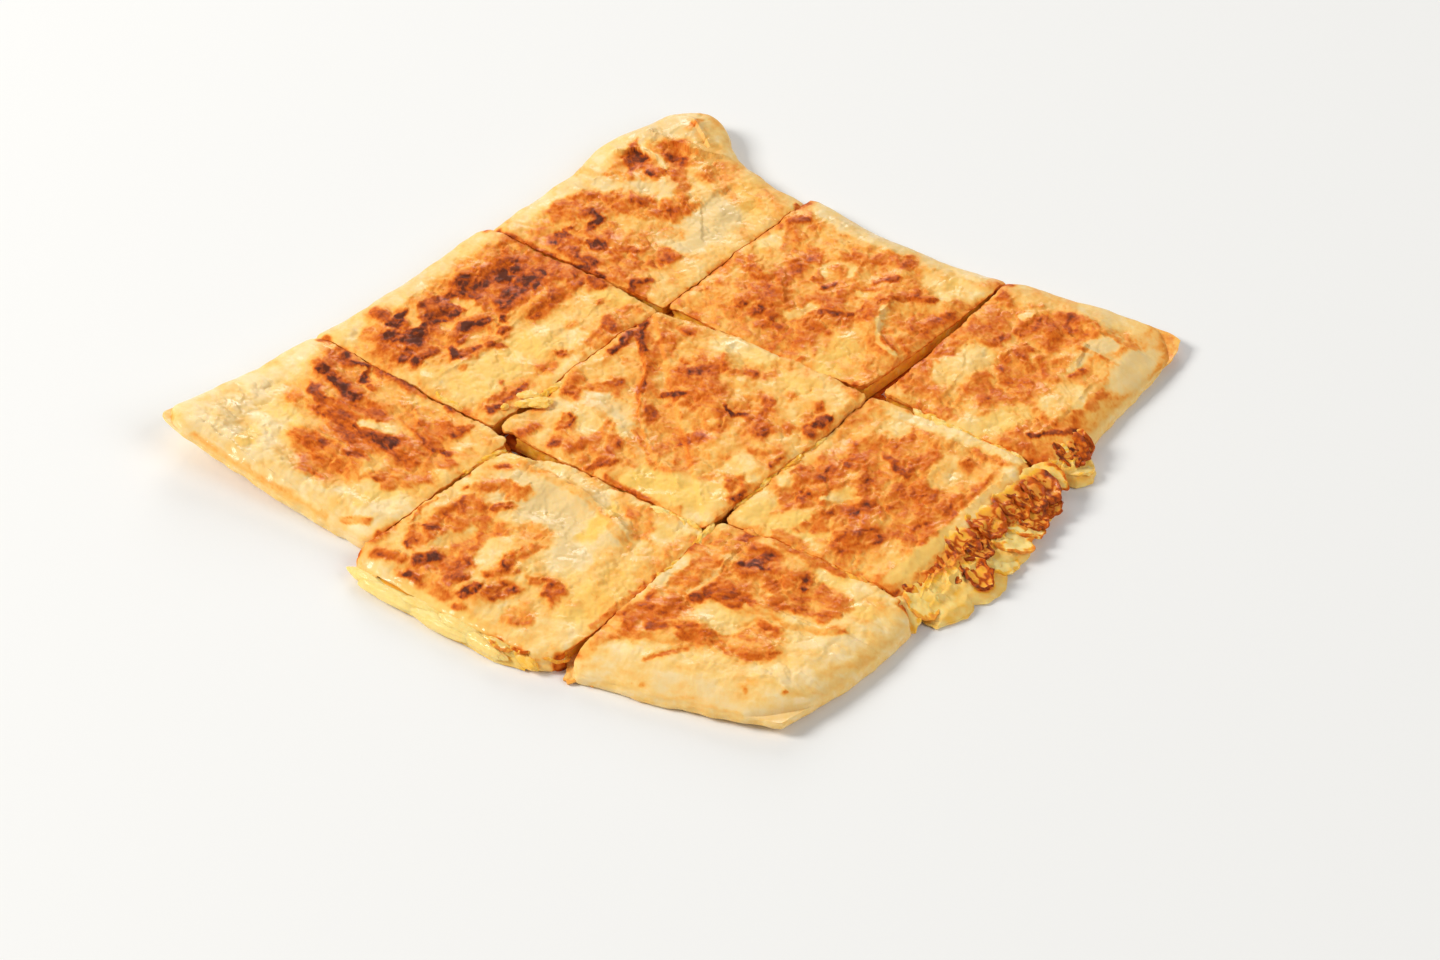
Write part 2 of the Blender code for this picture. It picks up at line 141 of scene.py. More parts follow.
# Petals: faces along and across, how round the corners are, thickness and the least height over the ground
PETAL_GRID = (34, 26)
PETAL_ROUND = 0.95
PETAL_THICKNESS = 0.7
PETAL_LOWEST = 0.7

# Curds in a shut cut: how far apart they lie, half their length, half their height, and how far each one
# strays in place, in its turn in degrees and in its browning
SEAM_STEP = 3.4
SEAM_LENGTH = 3.0
SEAM_HEIGHT = 1.1
SEAM_STRAY = 0.35
SEAM_TURN = 25.0
SEAM_TONE = 0.12

# Greatest angles, in degrees, between faces that are shaded as one surface
SKIN_CREASE = 38.0
CURD_CREASE = 60.0

# Materials: depths of the finest pores and waves in metres, how sharp patches of oil are, the browning up to
# which food is wet with it, how soon browning hides a tint, and a Mix node's sockets for colours
PORE_DEPTH = 0.00004
WAVE_DEPTH = 0.00012
OIL_CONTRAST = 4.0
WET_UNTIL = 1.05
TINT_FADE = 2.2
MIX_FIRST = 6
MIX_SECOND = 7
MIX_RESULT = 2

FRONT, RIGHT, BACK, LEFT = range(4)


class Fold(NamedTuple):
    """A crease of dough that stands proud along a line."""
    start: tuple
    end: tuple
    width: float
    height: float


class Flap(NamedTuple):
    """An upper layer of dough that lies to the left of a line."""
    start: tuple
    end: tuple
    height: float


class Lift(NamedTuple):
    """A corner that curls up, to the left of a bend line, by a height at a reach from that line."""
    start: tuple
    end: tuple
    height: float
    reach: float


class Ooze(NamedTuple):
    """Egg that ran out through an open stretch of the rim and fried there.

    It spreads beyond that stretch at both ends and reaches out by an amount for each place along it.
    """
    side: int
    start: float
    end: float
    spread: float
    reach: tuple
    height: float
    crumple: float


class Slice(NamedTuple):
    """Corners run front left, front right, back right, back left, and bulges front, right, back, left.

    tone is the browning between the marks, from 0 for cream dough to 1 for black, and grain is the direction
    in degrees in which the skin is wrinkled. shoulder is how far in from a rim the top starts to fall and how
    far it falls. Each push is a place, the reach round it and how far the outline moves there, and thin is a
    place, the reach round it and the share of the thickness that is lacking there. grow is how far the front,
    right, back and left rims lie out from the corners, and streak is how far the browning is drawn out along
    the grain.
    """
    corners: tuple
    rim: tuple
    bulges: tuple
    tone: float
    grain: float
    round_corners: tuple = (2.0, 2.0, 2.0, 2.0)
    lift: Lift = None
    relief: tuple = ()
    ooze: Ooze = None
    shoulder: tuple = (8.0, 4.2)
    pushes: tuple = ()
    thin: tuple = None
    grow: tuple = (0.0, 0.0, 2.0, 0.0)
    streak: float = 1.8


SLICES = {
    "back_left": Slice(
        corners=((-98.0, 33.4), (-44.5, 29.4), (-39.8, 104.0), (-98.5, 110.5)),
        rim=(BACK, LEFT),
        bulges=(-0.4, -0.8, 1.6, 0.8),
        tone=0.07,
        grain=75.0,
        round_corners=(4.0, 3.0, 2.0, 5.0),
        lift=Lift(start=(-98, 42), end=(-60, 106), height=11.0, reach=35.0),
        relief=(Fold((-92, 40), (-91, 96), 4, 0.9), Fold((-80, 48), (-77, 76), 4, 0.7),
                Fold((-67, 42), (-61, 86), 5, 0.8), Fold((-54, 68), (-50, 94), 4, 0.7)),
        streak=3.0,
    ),
    "back_middle": Slice(
        corners=((-41.2, 36.8), (27.5, 31.4), (29.0, 97.3), (-38.4, 103.5)),
        rim=(BACK,),
        bulges=(0.0, 0.0, -1.2, 0.2),
        tone=0.3,
        grain=30.0,
        relief=(Fold((-33, 74), (-16, 90), 5, 0.6), Fold((0, 84), (24, 88), 4, 0.5),
                Fold((2, 63), (24, 58), 4, 0.5)),
    ),
    "back_right": Slice(
        corners=((31.2, 31.2), (96.5, 27.4), (116.5, 84.8), (31.4, 94.8)),
        rim=(RIGHT, BACK),
        bulges=(0.4, -5.0, 1.5, 0.0),
        tone=0.26,
        grain=50.0,
        round_corners=(2.0, 3.0, 13.0, 2.0),
        lift=Lift(start=(80, 95), end=(101, 55), height=4.0, reach=25.0),
        relief=(Fold((66, 68), (80, 86), 4, 0.9), Fold((72, 58), (94, 84), 4, 1.3),
                Fold((84, 54), (103, 76), 4, 1.3), Fold((48, 84), (62, 62), 5, 0.6)),
        pushes=((86, 92, 12, -1.0, 4.0), (111, 70, 11, 4.0, -1.0)),
        grow=(0.0, 2.4, 1.2, 0.0),
    ),
    "middle_left": Slice(
        corners=((-108.0, -36.6), (-42.6, -38.2), (-46.6, 26.2), (-107.5, 33.2)),
        rim=(LEFT,),
        bulges=(1.4, 2.0, -0.3, 2.0),
        tone=0.2,
        grain=40.0,
        round_corners=(6.0, 2.0, 3.0, 4.0),
        relief=(Fold((-50, 18), (-53, -3), 4, 0.9), Fold((-53, -3), (-59, -22), 4, 1.1),
                Fold((-98, -3), (-70, -4), 5, 0.5), Fold((-101, 18), (-100, 4), 6, 0.6)),
        pushes=((-43.5, 22.5, 6.5, -2.4, -2.6),),
        ooze=Ooze(LEFT, 10.0, 60.0, spread=0.5, reach=(1.2, 2.2, 1.6, 2.6, 2.2, 3.0, 1.8), height=4.6,
                  crumple=0.15),
    ),
    "middle_right": Slice(
        corners=((35.0, -38.4), (100.0, -42.5), (100.0, 26.0), (32.4, 28.8)),
        rim=(RIGHT,),
        bulges=(0.8, -3.4, -0.3, 0.8),
        tone=0.47,
        grain=35.0,
        relief=(Fold((51, -36), (57, -24), 3, 0.8), Fold((57, -24), (70, -23), 3, 0.8),
                Fold((70, -23), (79, -37), 3, 0.8), Fold((44, 2), (58, 14), 4, 0.6)),
        grow=(0.0, 2.8, 0.0, 0.0),
    ),
    "front_left": Slice(
        corners=((-87.5, -98.5), (-34.4, -104.0), (-37.0, -40.4), (-104.0, -41.4)),
        rim=(FRONT, LEFT),
        bulges=(2.4, 2.0, -0.1, 0.8),
        tone=0.13,
        grain=110.0,
        round_corners=(2.2, 6.0, 2.0, 3.0),
        lift=Lift(start=(-62, -100), end=(-97, -66), height=2.0, reach=17.0),
        relief=(Flap((-54, -96), (-62, -44), 0.8), Fold((-80, -60), (-70, -84), 5, 0.6),
                Fold((-96, -52), (-84, -90), 5, 0.5)),
        shoulder=(11.0, 4.8),
        grow=(0.4, 0.0, 0.0, 2.4),
    ),
    "front_middle": Slice(
        corners=((-30.6, -97.0), (33.6, -98.4), (31.6, -44.4), (-34.8, -40.8)),
        rim=(FRONT,),
        bulges=(0.0, 1.2, 0.0, -0.9),
        tone=0.46,
        grain=20.0,
        relief=(Fold((-28, -90), (30, -93), 5, 0.5), Fold((-28, -74), (-14, -76), 5, 0.5)),
        ooze=Ooze(FRONT, 6.0, 58.0, spread=6.5, reach=(12.0, 15.0, 16.5, 17.0, 15.0, 14.5, 11.5, 11.0, 9.0),
                  height=6.4, crumple=1.0),
    ),
    "front_right": Slice(
        corners=((37.5, -98.2), (107.5, -97.0), (102.2, -45.4), (36.2, -44.8)),
        rim=(FRONT, RIGHT),
        bulges=(1.4, 1.6, -0.4, 0.2),
        tone=0.4,
        grain=35.0,
        round_corners=(3.0, 7.0, 3.0, 2.0),
        lift=Lift(start=(104, -62), end=(72, -98), height=3.0, reach=26.0),
        relief=(Fold((86, -78), (86, -92), 3, 0.8), Fold((97, -74), (95, -91), 3, 0.9),
                Fold((58, -60), (72, -52), 4, 0.5)),
        ooze=Ooze(FRONT, 3.0, 14.0, spread=1.4, reach=(9.0, 11.0, 9.5, 5.0), height=6.0, crumple=1.0),
        shoulder=(11.0, 5.2),
        thin=(109, -99, 19, 0.6),
        grow=(1.8, 3.0, 0.0, 0.0),
        pushes=((109, -97, 14, 2.0, -1.0),),
    ),
    "centre": Slice(
        corners=((-40.8, -37.0), (30.2, -41.8), (25.5, 29.6), (-41.4, 28.5)),
        rim=(),
        bulges=(0.3, 3.0, 3.0, -0.2),
        tone=0.37,
        grain=35.0,
        relief=(Flap((23, 28), (-33, -30), 0.9), Fold((-32, 12), (-24, 24), 4, 0.5),
                Fold((0, -14), (14, 4), 5, 0.4)),
        pushes=((-39, 29, 9, 1.2, 5.4),),
    ),
}

# Where each slice is browned or stays pale. A mark is its tone, its half width and one or more places that it
# runs through, broad marks first. Tones run from 0 for cream dough over 0.4 for golden and 0.7 for red-brown
# to 1 for black. A few marks are painted shade along a cut or under a fold, as said beside them.
MARKS = {
    "back_left": (
        (0.42, 10, (-66, 50), (-66, 70), (-60, 84)), (0.42, 8, (-50, 46), (-50, 86)),
        (0.44, 8, (-82, 60), (-80, 68)), (0.62, 6, (-84, 64), (-78, 61)), (0.3, 5, (-76, 32), (-46, 32)),
        (0.56, 5, (-80, 47), (-72, 40)), (0.78, 2.6, (-77.5, 78), (-77.5, 70)),
        (0.9, 1.2, (-78, 77), (-77.5, 73)), (0.74, 2.4, (-78, 61), (-74, 58)),
        (0.88, 1.5, (-81, 47.5), (-78, 47)), (0.8, 0.9, (-80.5, 61)), (0.56, 3.0, (-66, 90), (-60, 88)),
        (0.9, 2.0, (-59, 88), (-62, 83), (-66, 77.5)),
        (0.74, 4.2, (-62, 77), (-67, 69), (-67, 60), (-65, 53), (-66, 45)),
        (0.88, 2.2, (-63, 76), (-67, 69), (-66.5, 62)), (0.95, 1.9, (-66.3, 61), (-66.5, 55), (-63.5, 54)),
        (0.72, 3.2, (-50, 93), (-54, 82), (-56, 74), (-58.5, 64)),
        (0.98, 1.8, (-50.5, 91.5), (-51.5, 88), (-54, 82), (-55, 76)),
        (0.8, 1.2, (-57.5, 66), (-58.5, 63.5)), (0.76, 3.6, (-43, 92), (-43, 87)),
        (0.92, 1.7, (-42.5, 90), (-44, 87)),
        (0.98, 0.8, (-42.6, 85.5), (-43.4, 81), (-46, 80), (-49.2, 78.3)),
        # The last mark on the next line is painted shade in the cut to back_middle
        (0.96, 1.2, (-49.2, 78.6), (-48.6, 77.4)), (0.84, 2.4, (-41.5, 78), (-41.5, 62), (-43, 50)),
        (0.74, 3, (-52, 48), (-50, 43)), (0.86, 1.4, (-49.7, 74.2)),
        (0.7, 3.6, (-54, 51), (-58, 49), (-59, 43)), (0.9, 1.5, (-60, 42), (-59, 39)),
        (0.64, 2.6, (-64, 40), (-63, 36)), (0.86, 1.2, (-51.5, 42.5), (-46, 40)),
        (0.78, 1.6, (-58, 48), (-56, 45)), (0.58, 1.7, (-97, 43), (-94.5, 38)),
        (0.36, 3.6, (-55, 60), (-46, 56)), (0.12, 1.6, (-62, 66), (-60, 57)),
        (0.12, 4, (-90, 46), (-84, 47)), (0.88, 1.0, (-92, 113.5), (-92.6, 112.4)),
        (0.34, 2.4, (-96, 100), (-99, 75), (-101, 50)),
    ),
    "back_middle": (
        (0.15, 6, (-36, 99), (28, 96)), (0.58, 13, (-26, 79), (0, 77), (20, 76)),
        (0.66, 8, (-30, 78), (24, 72)), (0.7, 6.2, (-28, 80), (-14, 82)), (0.8, 7, (3, 80), (20, 77)),
        (0.76, 5.5, (4, 69), (24, 68)), (0.16, 7, (-32, 52), (-10, 50), (4, 46)),
        (0.2, 4, (-35, 63), (-28, 60)), (0.55, 3, (-20, 62), (-8, 60)), (1.0, 2.3, (-29, 86), (-26, 82)),
        (1.0, 2.8, (-25, 79), (-21, 81)), (0.93, 1.8, (-34, 75), (-30, 77)),
        (0.98, 2.0, (-24, 88), (-17, 88)), (0.9, 1.8, (-11, 86), (-4, 84)), (1.0, 1.7, (1, 82), (6, 85)),
        (0.97, 1.6, (4, 79), (7, 79)), (0.94, 3.6, (-14, 80), (-7, 76)), (0.95, 3.2, (12, 77), (18, 76)),
        (0.93, 3.5, (8, 70), (16, 69)), (0.93, 2.5, (3, 68)), (0.92, 2, (22, 68)), (0.93, 2, (21, 77)),
        (0.45, 1.3, (-20, 83), (-13, 89)), (0.4, 1.6, (-15, 75), (-4, 73)), (0.4, 1.6, (-4, 80), (-3, 76)),
        (1.0, 1.5, (-13, 70), (-10, 70)), (1.0, 1.5, (-7, 68), (-5, 67)), (0.97, 1, (15, 65), (17, 66)),
        (0.95, 1.7, (-24, 64), (-22, 66)), (0.94, 0.9, (-3, 63), (-1, 64)), (0.8, 2.4, (-22, 92), (-22, 95)),
        (0.86, 1.2, (-21, 63), (-17, 62)), (0.85, 1.3, (-14, 60), (-12, 56)),
        (0.85, 1.1, (-8, 61), (-5, 60)), (0.86, 2, (-33, 72), (-26, 71)), (0.84, 1.4, (-16, 68), (-18, 67)),
        (0.72, 2.8, (4, 57), (14, 58), (26, 57)), (0.82, 1.2, (5, 57), (11, 58)),
        (0.7, 4, (26, 84), (27, 62)), (0.66, 1.3, (-27, 59)), (0.75, 1, (-26, 46)), (0.8, 1.7, (-5, 41)),
        (0.5, 2.4, (8, 46)), (0.42, 2, (9, 41)), (0.6, 2.6, (-36, 43), (-22, 40)),
        (0.9, 1.5, (-37, 42), (-34, 39)), (0.84, 1.0, (-31, 40), (-23, 40)), (0.6, 2, (-14, 40), (-11, 39)),
        (0.6, 4, (6, 35), (22, 36)), (0.84, 1.6, (12, 36), (16, 40)), (0.1, 2.4, (23, 45), (24, 48)),
        (0.86, 2, (27.5, 59), (27.5, 51)), (0.32, 3, (22, 42)), (0.66, 1.5, (21, 46)),
    ),
    "back_right": (
        (0.5, 12, (40, 72), (42, 56)), (0.12, 5, (62, 86), (68, 76), (74, 62)),
        (0.55, 8, (36, 74), (46, 66)), (0.66, 5.6, (50, 83), (58, 77), (64, 67), (68, 57), (71, 51)),
        (0.55, 6, (36, 52), (46, 56)), (0.84, 2.2, (52, 76), (54, 74)), (1.0, 1.7, (48, 70), (52, 70.5)),
        (0.97, 2.5, (42, 62), (42, 64)), (0.88, 2.6, (37, 75), (39, 74)), (0.93, 1, (42, 75), (44, 75)),
        (0.82, 2.2, (33, 64), (35, 70)), (0.88, 2.6, (30, 58), (34, 60)), (0.78, 1.6, (40, 55), (42, 57)),
        (0.8, 1.5, (45, 55), (46, 53)), (0.7, 3.4, (46, 44), (52, 43)), (0.62, 2, (40, 45), (42, 47)),
        (0.68, 4, (31, 38), (34, 47)), (0.97, 1.3, (31, 42), (34, 43.5), (37, 41)),
        (0.8, 1.9, (65, 68), (68, 65)), (0.78, 2.6, (66, 56), (70, 53)), (1.0, 1.8, (29, 61), (30, 54)),
        (0.9, 1.5, (29.5, 88), (29, 64)), (0.5, 4.5, (74, 80), (79, 76)), (0.5, 6, (84, 74), (92, 70)),
        (0.88, 3.4, (80, 79), (84, 81)), (0.82, 1.7, (88, 85), (90, 87)), (0.7, 4, (90, 73), (95, 76)),
        (0.84, 1.6, (88, 73), (91, 69)), (0.82, 2, (80, 71), (84, 69)), (0.66, 2.6, (83, 64), (88, 67)),
        (0.8, 1.9, (91, 57), (94, 58)), (0.62, 2.4, (75, 57), (80, 60)),
        (0.1, 1.1, (85, 70), (87, 78), (91, 84)), (0.1, 1.0, (72, 62), (79, 67)),
        (0.5, 4, (88, 58), (94, 54)), (0.08, 7, (60, 43), (80, 43)), (0.03, 2.4, (61, 40), (65, 38)),
        (0.34, 5, (88, 48), (86, 34)), (0.3, 4, (34, 34), (46, 35)), (0.4, 3.4, (58, 54), (60, 47)),
        # The second mark on the next line is a painted shade line under the fold of the rim
        (0.12, 8, (100, 86), (106, 80)), (0.5, 1.2, (104, 76), (110, 76)), (0.3, 2.5, (102, 72), (99, 64)),
        (0.1, 3, (92, 90), (74, 90)), (0.12, 3, (40, 91), (60, 88)),
    ),
    "middle_left": (
        (0.08, 8, (-60, 12), (-62, -14)), (0.06, 6, (-68, -14), (-76, -17)), (0.12, 5, (-50, 8), (-53, -10)),
        (0.6, 4.4, (-92, 23), (-74, 21)), (0.36, 1.7, (-50, 20), (-50, -4), (-55, -16), (-60, -26)),
        (0.74, 1.2, (-100, 32), (-95, 31.5)), (0.6, 0.5, (-88, 29.3), (-76, 29)),
        (0.72, 2.4, (-103, 27), (-101, 22)), (0.86, 1.5, (-95, 23), (-93, 23)),
        (0.93, 1.2, (-86, 24), (-86, 21)), (0.8, 2.2, (-79, 22), (-75, 22)),
        (0.68, 3.5, (-80, 17), (-71, 20), (-76, 13)), (0.9, 0.9, (-67, 25.5)),
        (0.84, 1.2, (-55, 23), (-53, 22)), (0.66, 5.5, (-98, 13), (-94, 8)),
        (0.93, 2.4, (-98, 16), (-95, 15)), (0.9, 1.8, (-105, 15), (-104.5, 10)),
        (0.8, 2, (-100, 5), (-97, 3)), (0.84, 2.2, (-94, 7), (-91, 6)), (0.6, 3, (-106, 3), (-105, 8)),
        (0.6, 4, (-88, 9), (-76, 7)), (0.74, 1.2, (-86, 8)), (0.14, 3, (-87, 3), (-80, 3)),
        (0.98, 1.8, (-103, -1.5), (-98, -3)), (0.66, 2.4, (-92, -3), (-83, -4), (-76, -6)),
        (0.46, 3, (-71, -5), (-70, 0)), (0.8, 1.2, (-92, -3), (-82, -4)),
        (0.82, 1.4, (-108, -4), (-106, -5)), (0.76, 1.8, (-98, -7), (-93, -8)),
        (0.78, 1.3, (-99, -10), (-92, -12)), (0.76, 1.7, (-86, -14), (-85, -16)), (0.7, 1.5, (-87, -8)),
        (0.3, 4.4, (-94, -22), (-88, -21)), (0.6, 3.4, (-101, -18), (-100, -21)),
        (0.76, 3.2, (-89, -24), (-86, -21)), (0.84, 1.8, (-69, 13), (-66, 11)),
        (0.6, 3, (-62, 15), (-59, 11)), (0.6, 2.6, (-66, 22), (-60, 18)), (0.26, 7, (-90, -32), (-66, -30)),
        (0.14, 5, (-97, -33), (-93, -31)), (0.42, 3, (-66, -37), (-48, -38)),
        # The first mark on the next line is painted shade in the cut to front_left
        (0.6, 1.3, (-62, -39.5), (-92, -38.5)), (0.15, 3.5, (-111, 24), (-112, 0), (-113, -12)),
        (0.86, 2, (-116, -21), (-112, -21)), (0.88, 2.2, (-115, -25), (-113, -28)), (0.5, 2, (-113, -33)),
        (0.74, 1.6, (-47, -22), (-45, -21)), (0.5, 3.5, (-53, -26), (-48, -20)),
        (0.12, 3, (-51, -31), (-46, -33)),
    ),
    "centre": (
        (0.14, 4, (-37, 23), (-22, 26)), (0.6, 5.5, (-36, 9), (-30, 5)), (0.42, 3, (-30, -2), (-34, -4)),
        (0.8, 2, (-39, 27), (-35, 27)), (0.93, 1.8, (-29.5, 20), (-26.5, 20.5)),
        (0.66, 0.9, (-33, 20), (-26, 23)), (0.78, 1.8, (-38, 18), (-36, 18)),
        (0.76, 1.5, (-37, 11), (-32, 12)), (0.92, 1.6, (-39, 2), (-36, 1)),
        (0.86, 0.9, (-35.5, -1), (-34.5, -1)), (0.84, 1.2, (-26.5, 2), (-25.5, 0)),
        (0.62, 4, (-17, 27), (-13, 29)), (0.8, 1.6, (-18, 27), (-16, 27)), (0.84, 2.6, (-9, 22), (-6, 20)),
        (0.34, 4, (-6, 26), (4, 21)), (0.5, 1.5, (3, 24)), (0.14, 3.4, (-22, 18), (-25, 14)),
        (0.6, 0.9, (-20, 11), (-28, 9)), (0.2, 3.8, (-14, 21), (-17, 6)), (0.08, 2, (-23, 4), (-21, 5)),
        (0.48, 5, (-12, 4), (-2, 9)), (0.62, 7, (0, -1), (12, 4)), (0.46, 9, (-20, -5), (-8, -8)),
        (0.5, 5, (2, -12), (8, -18), (2, -26)), (0.93, 1.6, (22, 31), (15, 27), (9, 21)),
        (0.88, 1.6, (4, 28.5), (14, 29.5)), (0.82, 1.0, (9, 21), (2, 15), (-5, 12)),
        (0.7, 0.7, (-5, 12), (-14, 6)), (0.62, 0.5, (-20, 2), (-26, -6), (-32, -16)),
        (0.84, 1.6, (-12, 2), (-10, 4)), (0.8, 1.0, (-4, 12)), (0.93, 1.0, (-3, 6), (0, 3), (3, 1)),
        (0.66, 4.2, (11, 4.5), (17, 0)), (0.84, 2.2, (11, 5), (15, 2)), (0.64, 2, (-12, 25), (-11, 21)),
        (0.72, 3.4, (0, -3), (9, -4)), (0.68, 3, (13, 17), (20, 20)), (0.76, 2, (25, 18), (25, 16)),
        (0.66, 2.6, (4, 14), (9, 18)), (0.64, 2.4, (-24, -9), (-21, -9)),
        (0.76, 2.2, (-15, -12), (-11, -13)), (0.72, 2.6, (-4, -16), (0, -14)),
        (0.55, 3, (-26, -16), (-18, -18)), (0.94, 0.9, (4, -12), (2, -16), (4, -19)),
        (0.78, 2.8, (1, -26), (4, -23)), (0.78, 1.7, (7, -22), (9, -23)), (0.7, 2.4, (13, -20)),
        (0.76, 1.7, (19, -6), (20, -9)), (0.55, 2.4, (22, -14)), (0.56, 3, (-8, -32), (-6, -35)),
        (0.7, 3.8, (-26, -36), (-20, -35)), (0.94, 1.0, (-28, -38), (-23, -38.5)),
        (0.86, 1, (-10, -38.5), (-6, -38)), (0.93, 2.2, (13, -38), (16, -38)),
        (0.82, 1.2, (18, -35), (21, -32)), (0.8, 1.8, (8, -38), (10, -36)), (0.68, 2, (5, -33), (7, -32)),
        (0.1, 3.6, (26, 6), (28, 0), (29, -8)), (0.2, 5, (24, -20), (26, -32)),
        (0.07, 5.5, (-36, -12), (-32, -27)), (0.1, 4.6, (-38, -33), (-29, -31)),
        (0.14, 3, (-16, -30), (-12, -31)), (0.12, 2.4, (-17, -36)), (0.76, 0.9, (-41, -4), (-42, -20)),
    ),
    "middle_right": (
        (0.3, 7, (38, -26), (46, -22)), (0.33, 4, (64, 20), (74, 22)), (0.64, 8, (44, -6), (56, -10)),
        (0.6, 8, (46, 6), (56, 12)), (0.1, 4.4, (97, 20), (94, 4), (96, -20), (98, -36)),
        (0.2, 5, (88, -28), (88, -38)), (0.14, 3, (73, 23), (78, 22)),
        (0.93, 1.3, (55, -9), (57, -13), (59, -16)), (0.84, 2.2, (43, 6), (46, 7)),
        (0.88, 1.1, (43, 12), (46, 12)), (0.72, 3, (50, 11), (58, 11)), (0.76, 2.4, (58, 15), (60, 20)),
        (0.7, 3.6, (42, 1), (54, 4)), (0.82, 1.4, (40, 0), (46, 1)), (0.22, 2, (49, -2), (55, -5)),
        (0.64, 2.5, (62, 24)), (0.56, 3, (74, 16), (80, 18)), (0.78, 2, (86, 24), (88, 20)),
        (0.7, 1.2, (87, 17)), (0.68, 3, (62, 10), (72, 9)), (0.78, 1.4, (68, 8), (70, 8)),
        (0.84, 1.1, (66, 3), (66, 1)), (0.86, 1.0, (65, -3), (69, -4)), (0.7, 2, (74, 7), (78, 9)),
        (0.52, 2.2, (74, -2)), (0.12, 1.0, (70, 1), (74, 3), (78, 0), (78, -4), (74, -6)),
        (0.7, 3.2, (82, -1), (86, -8), (90, -16)), (0.66, 3, (62, -8), (70, -12)),
        (0.16, 1.7, (69, -14), (71, -18)), (0.84, 1.2, (76, -14), (82, -18)),
        (0.66, 3, (62, -20), (70, -20)), (0.88, 0.6, (69, -20), (71, -21)),
        (0.76, 1.7, (74, -22), (79, -27)), (0.76, 1.5, (78, -30), (79, -32)),
        (0.66, 4, (60, -36), (70, -36)), (0.8, 2.2, (66, -38), (76, -40)), (0.66, 4, (54, -36), (56, -33)),
        (0.55, 3.5, (58, -27), (62, -31)), (0.5, 6, (40, -35)),
        (0.22, 0.9, (51, -38), (54, -30), (59, -26), (68, -23)), (0.76, 1.3, (34, -36)),
        (0.64, 3, (35, -4), (37, -12)), (0.76, 1.1, (34, -17)), (0.74, 1.5, (48, -13), (48, -16)),
        (0.14, 2, (82, -34)), (0.38, 3, (88, -4), (84, 12)),
    ),
    "front_left": (
        (0.56, 7, (-84, -46), (-72, -48)), (0.5, 6, (-48, -42), (-40, -50)),
        (0.5, 7, (-48, -80), (-44, -72)), (0.8, 2.4, (-86, -45), (-84, -45)),
        (0.74, 4, (-79, -48), (-73, -50)), (0.9, 1.9, (-82, -51), (-80, -52)),
        (0.46, 3, (-94, -43), (-90, -43)), (0.66, 0.9, (-93, -57), (-88, -60), (-84, -64)),
        (0.74, 4.2, (-78, -60), (-74, -66)), (0.74, 2, (-77, -68), (-77, -74)),
        (0.56, 6, (-72, -76), (-67, -77)), (0.84, 1.3, (-64.5, -74), (-63.5, -78)),
        (0.72, 1.8, (-77, -78), (-72, -83)), (0.66, 0.8, (-87, -85)), (0.6, 0.8, (-82, -94)),
        (0.5, 0.9, (-102, -63)), (0.76, 1.1, (-42, -94), (-40, -95)), (0.8, 3.4, (-64, -54), (-58, -58)),
        (0.9, 1.8, (-65, -53), (-63, -55)), (0.82, 3, (-60, -61), (-60, -65)),
        (0.55, 3, (-54, -60), (-53, -66)), (0.74, 5, (-47, -58), (-42, -59)),
        (0.93, 2, (-47, -56), (-42, -59)), (0.7, 4, (-47, -67), (-43, -72)),
        (0.7, 4, (-54, -73), (-51, -77)), (0.9, 1.1, (-46, -74), (-42, -73)),
        (0.72, 2.4, (-43, -83), (-46, -81)), (0.6, 3, (-44, -82), (-45, -87)),
        (0.66, 2.2, (-52, -86), (-49, -88)), (0.1, 3, (-38, -77), (-36, -84)),
        (0.3, 3, (-45, -94), (-39, -94)), (0.58, 4.2, (-63, -47), (-50, -48)),
        (0.66, 2.2, (-56, -54), (-53, -54)), (0.34, 0.7, (-65, -50), (-57, -52), (-48, -51)),
        (0.42, 1.3, (-61, -66), (-60, -80), (-57, -88), (-53, -93)), (0.84, 1.5, (-39, -50), (-36, -50)),
        (0.66, 1.8, (-34.5, -58), (-34.5, -80)), (0.8, 1.5, (-51, -40), (-49, -40)),
        (0.44, 2, (-104, -43), (-96, -42)), (0.76, 1.1, (-82, -42), (-70, -43)),
        # The second mark on the next line is painted shade low on the left rim's wall
        (0.1, 4, (-68, -60), (-70, -66)), (0.32, 2.5, (-105, -68), (-98, -90)),
    ),
    "front_middle": (
        (0.6, 9, (-12, -52), (4, -56)), (0.62, 8, (-20, -66), (2, -68)), (0.58, 9, (2, -84), (6, -74)),
        (0.12, 4.4, (-30, -45), (-22, -44)), (0.12, 3.4, (-28, -53), (-21, -56)),
        (0.14, 3.6, (-31, -62), (-28, -67)), (0.16, 2.4, (-9, -60), (-5, -62)),
        (0.22, 4, (10, -42), (-4, -42)), (0.1, 2.6, (-12, -44.5), (-5, -44.5)),
        (0.7, 3.6, (-18, -52), (-14, -55)), (0.84, 1.8, (-17, -52), (-14, -53)),
        (0.7, 4.4, (-6, -48), (-2, -52)), (0.88, 1.7, (-6, -52), (-1, -52)), (0.72, 3.2, (5, -55), (8, -58)),
        (0.18, 1.1, (-12, -57), (-9, -62), (-4, -64)), (0.86, 2, (-12, -67.3), (-7, -71)),
        (0.2, 2.4, (17, -82)), (0.8, 1.3, (-4, -64), (2, -64)), (0.76, 1.6, (-16, -61), (-13, -63)),
        (0.62, 5, (12, -64), (14, -60)), (0.86, 1.3, (14, -60), (11, -66), (9.5, -69.5)),
        (0.84, 1.5, (12, -70), (19, -71.5)), (0.7, 3, (16, -70), (20, -72)),
        (0.98, 2.4, (-23, -72), (-16, -76)), (0.78, 4.6, (-24, -74), (-16, -78)),
        (0.72, 4.4, (4, -74), (6, -81)), (0.8, 1.4, (4, -78), (7, -76)), (0.68, 5, (-11, -83), (-8, -88)),
        (0.7, 4.5, (2, -87), (8, -88)), (0.66, 3, (16, -59), (24, -61)), (0.7, 2.2, (14, -91), (22, -91)),
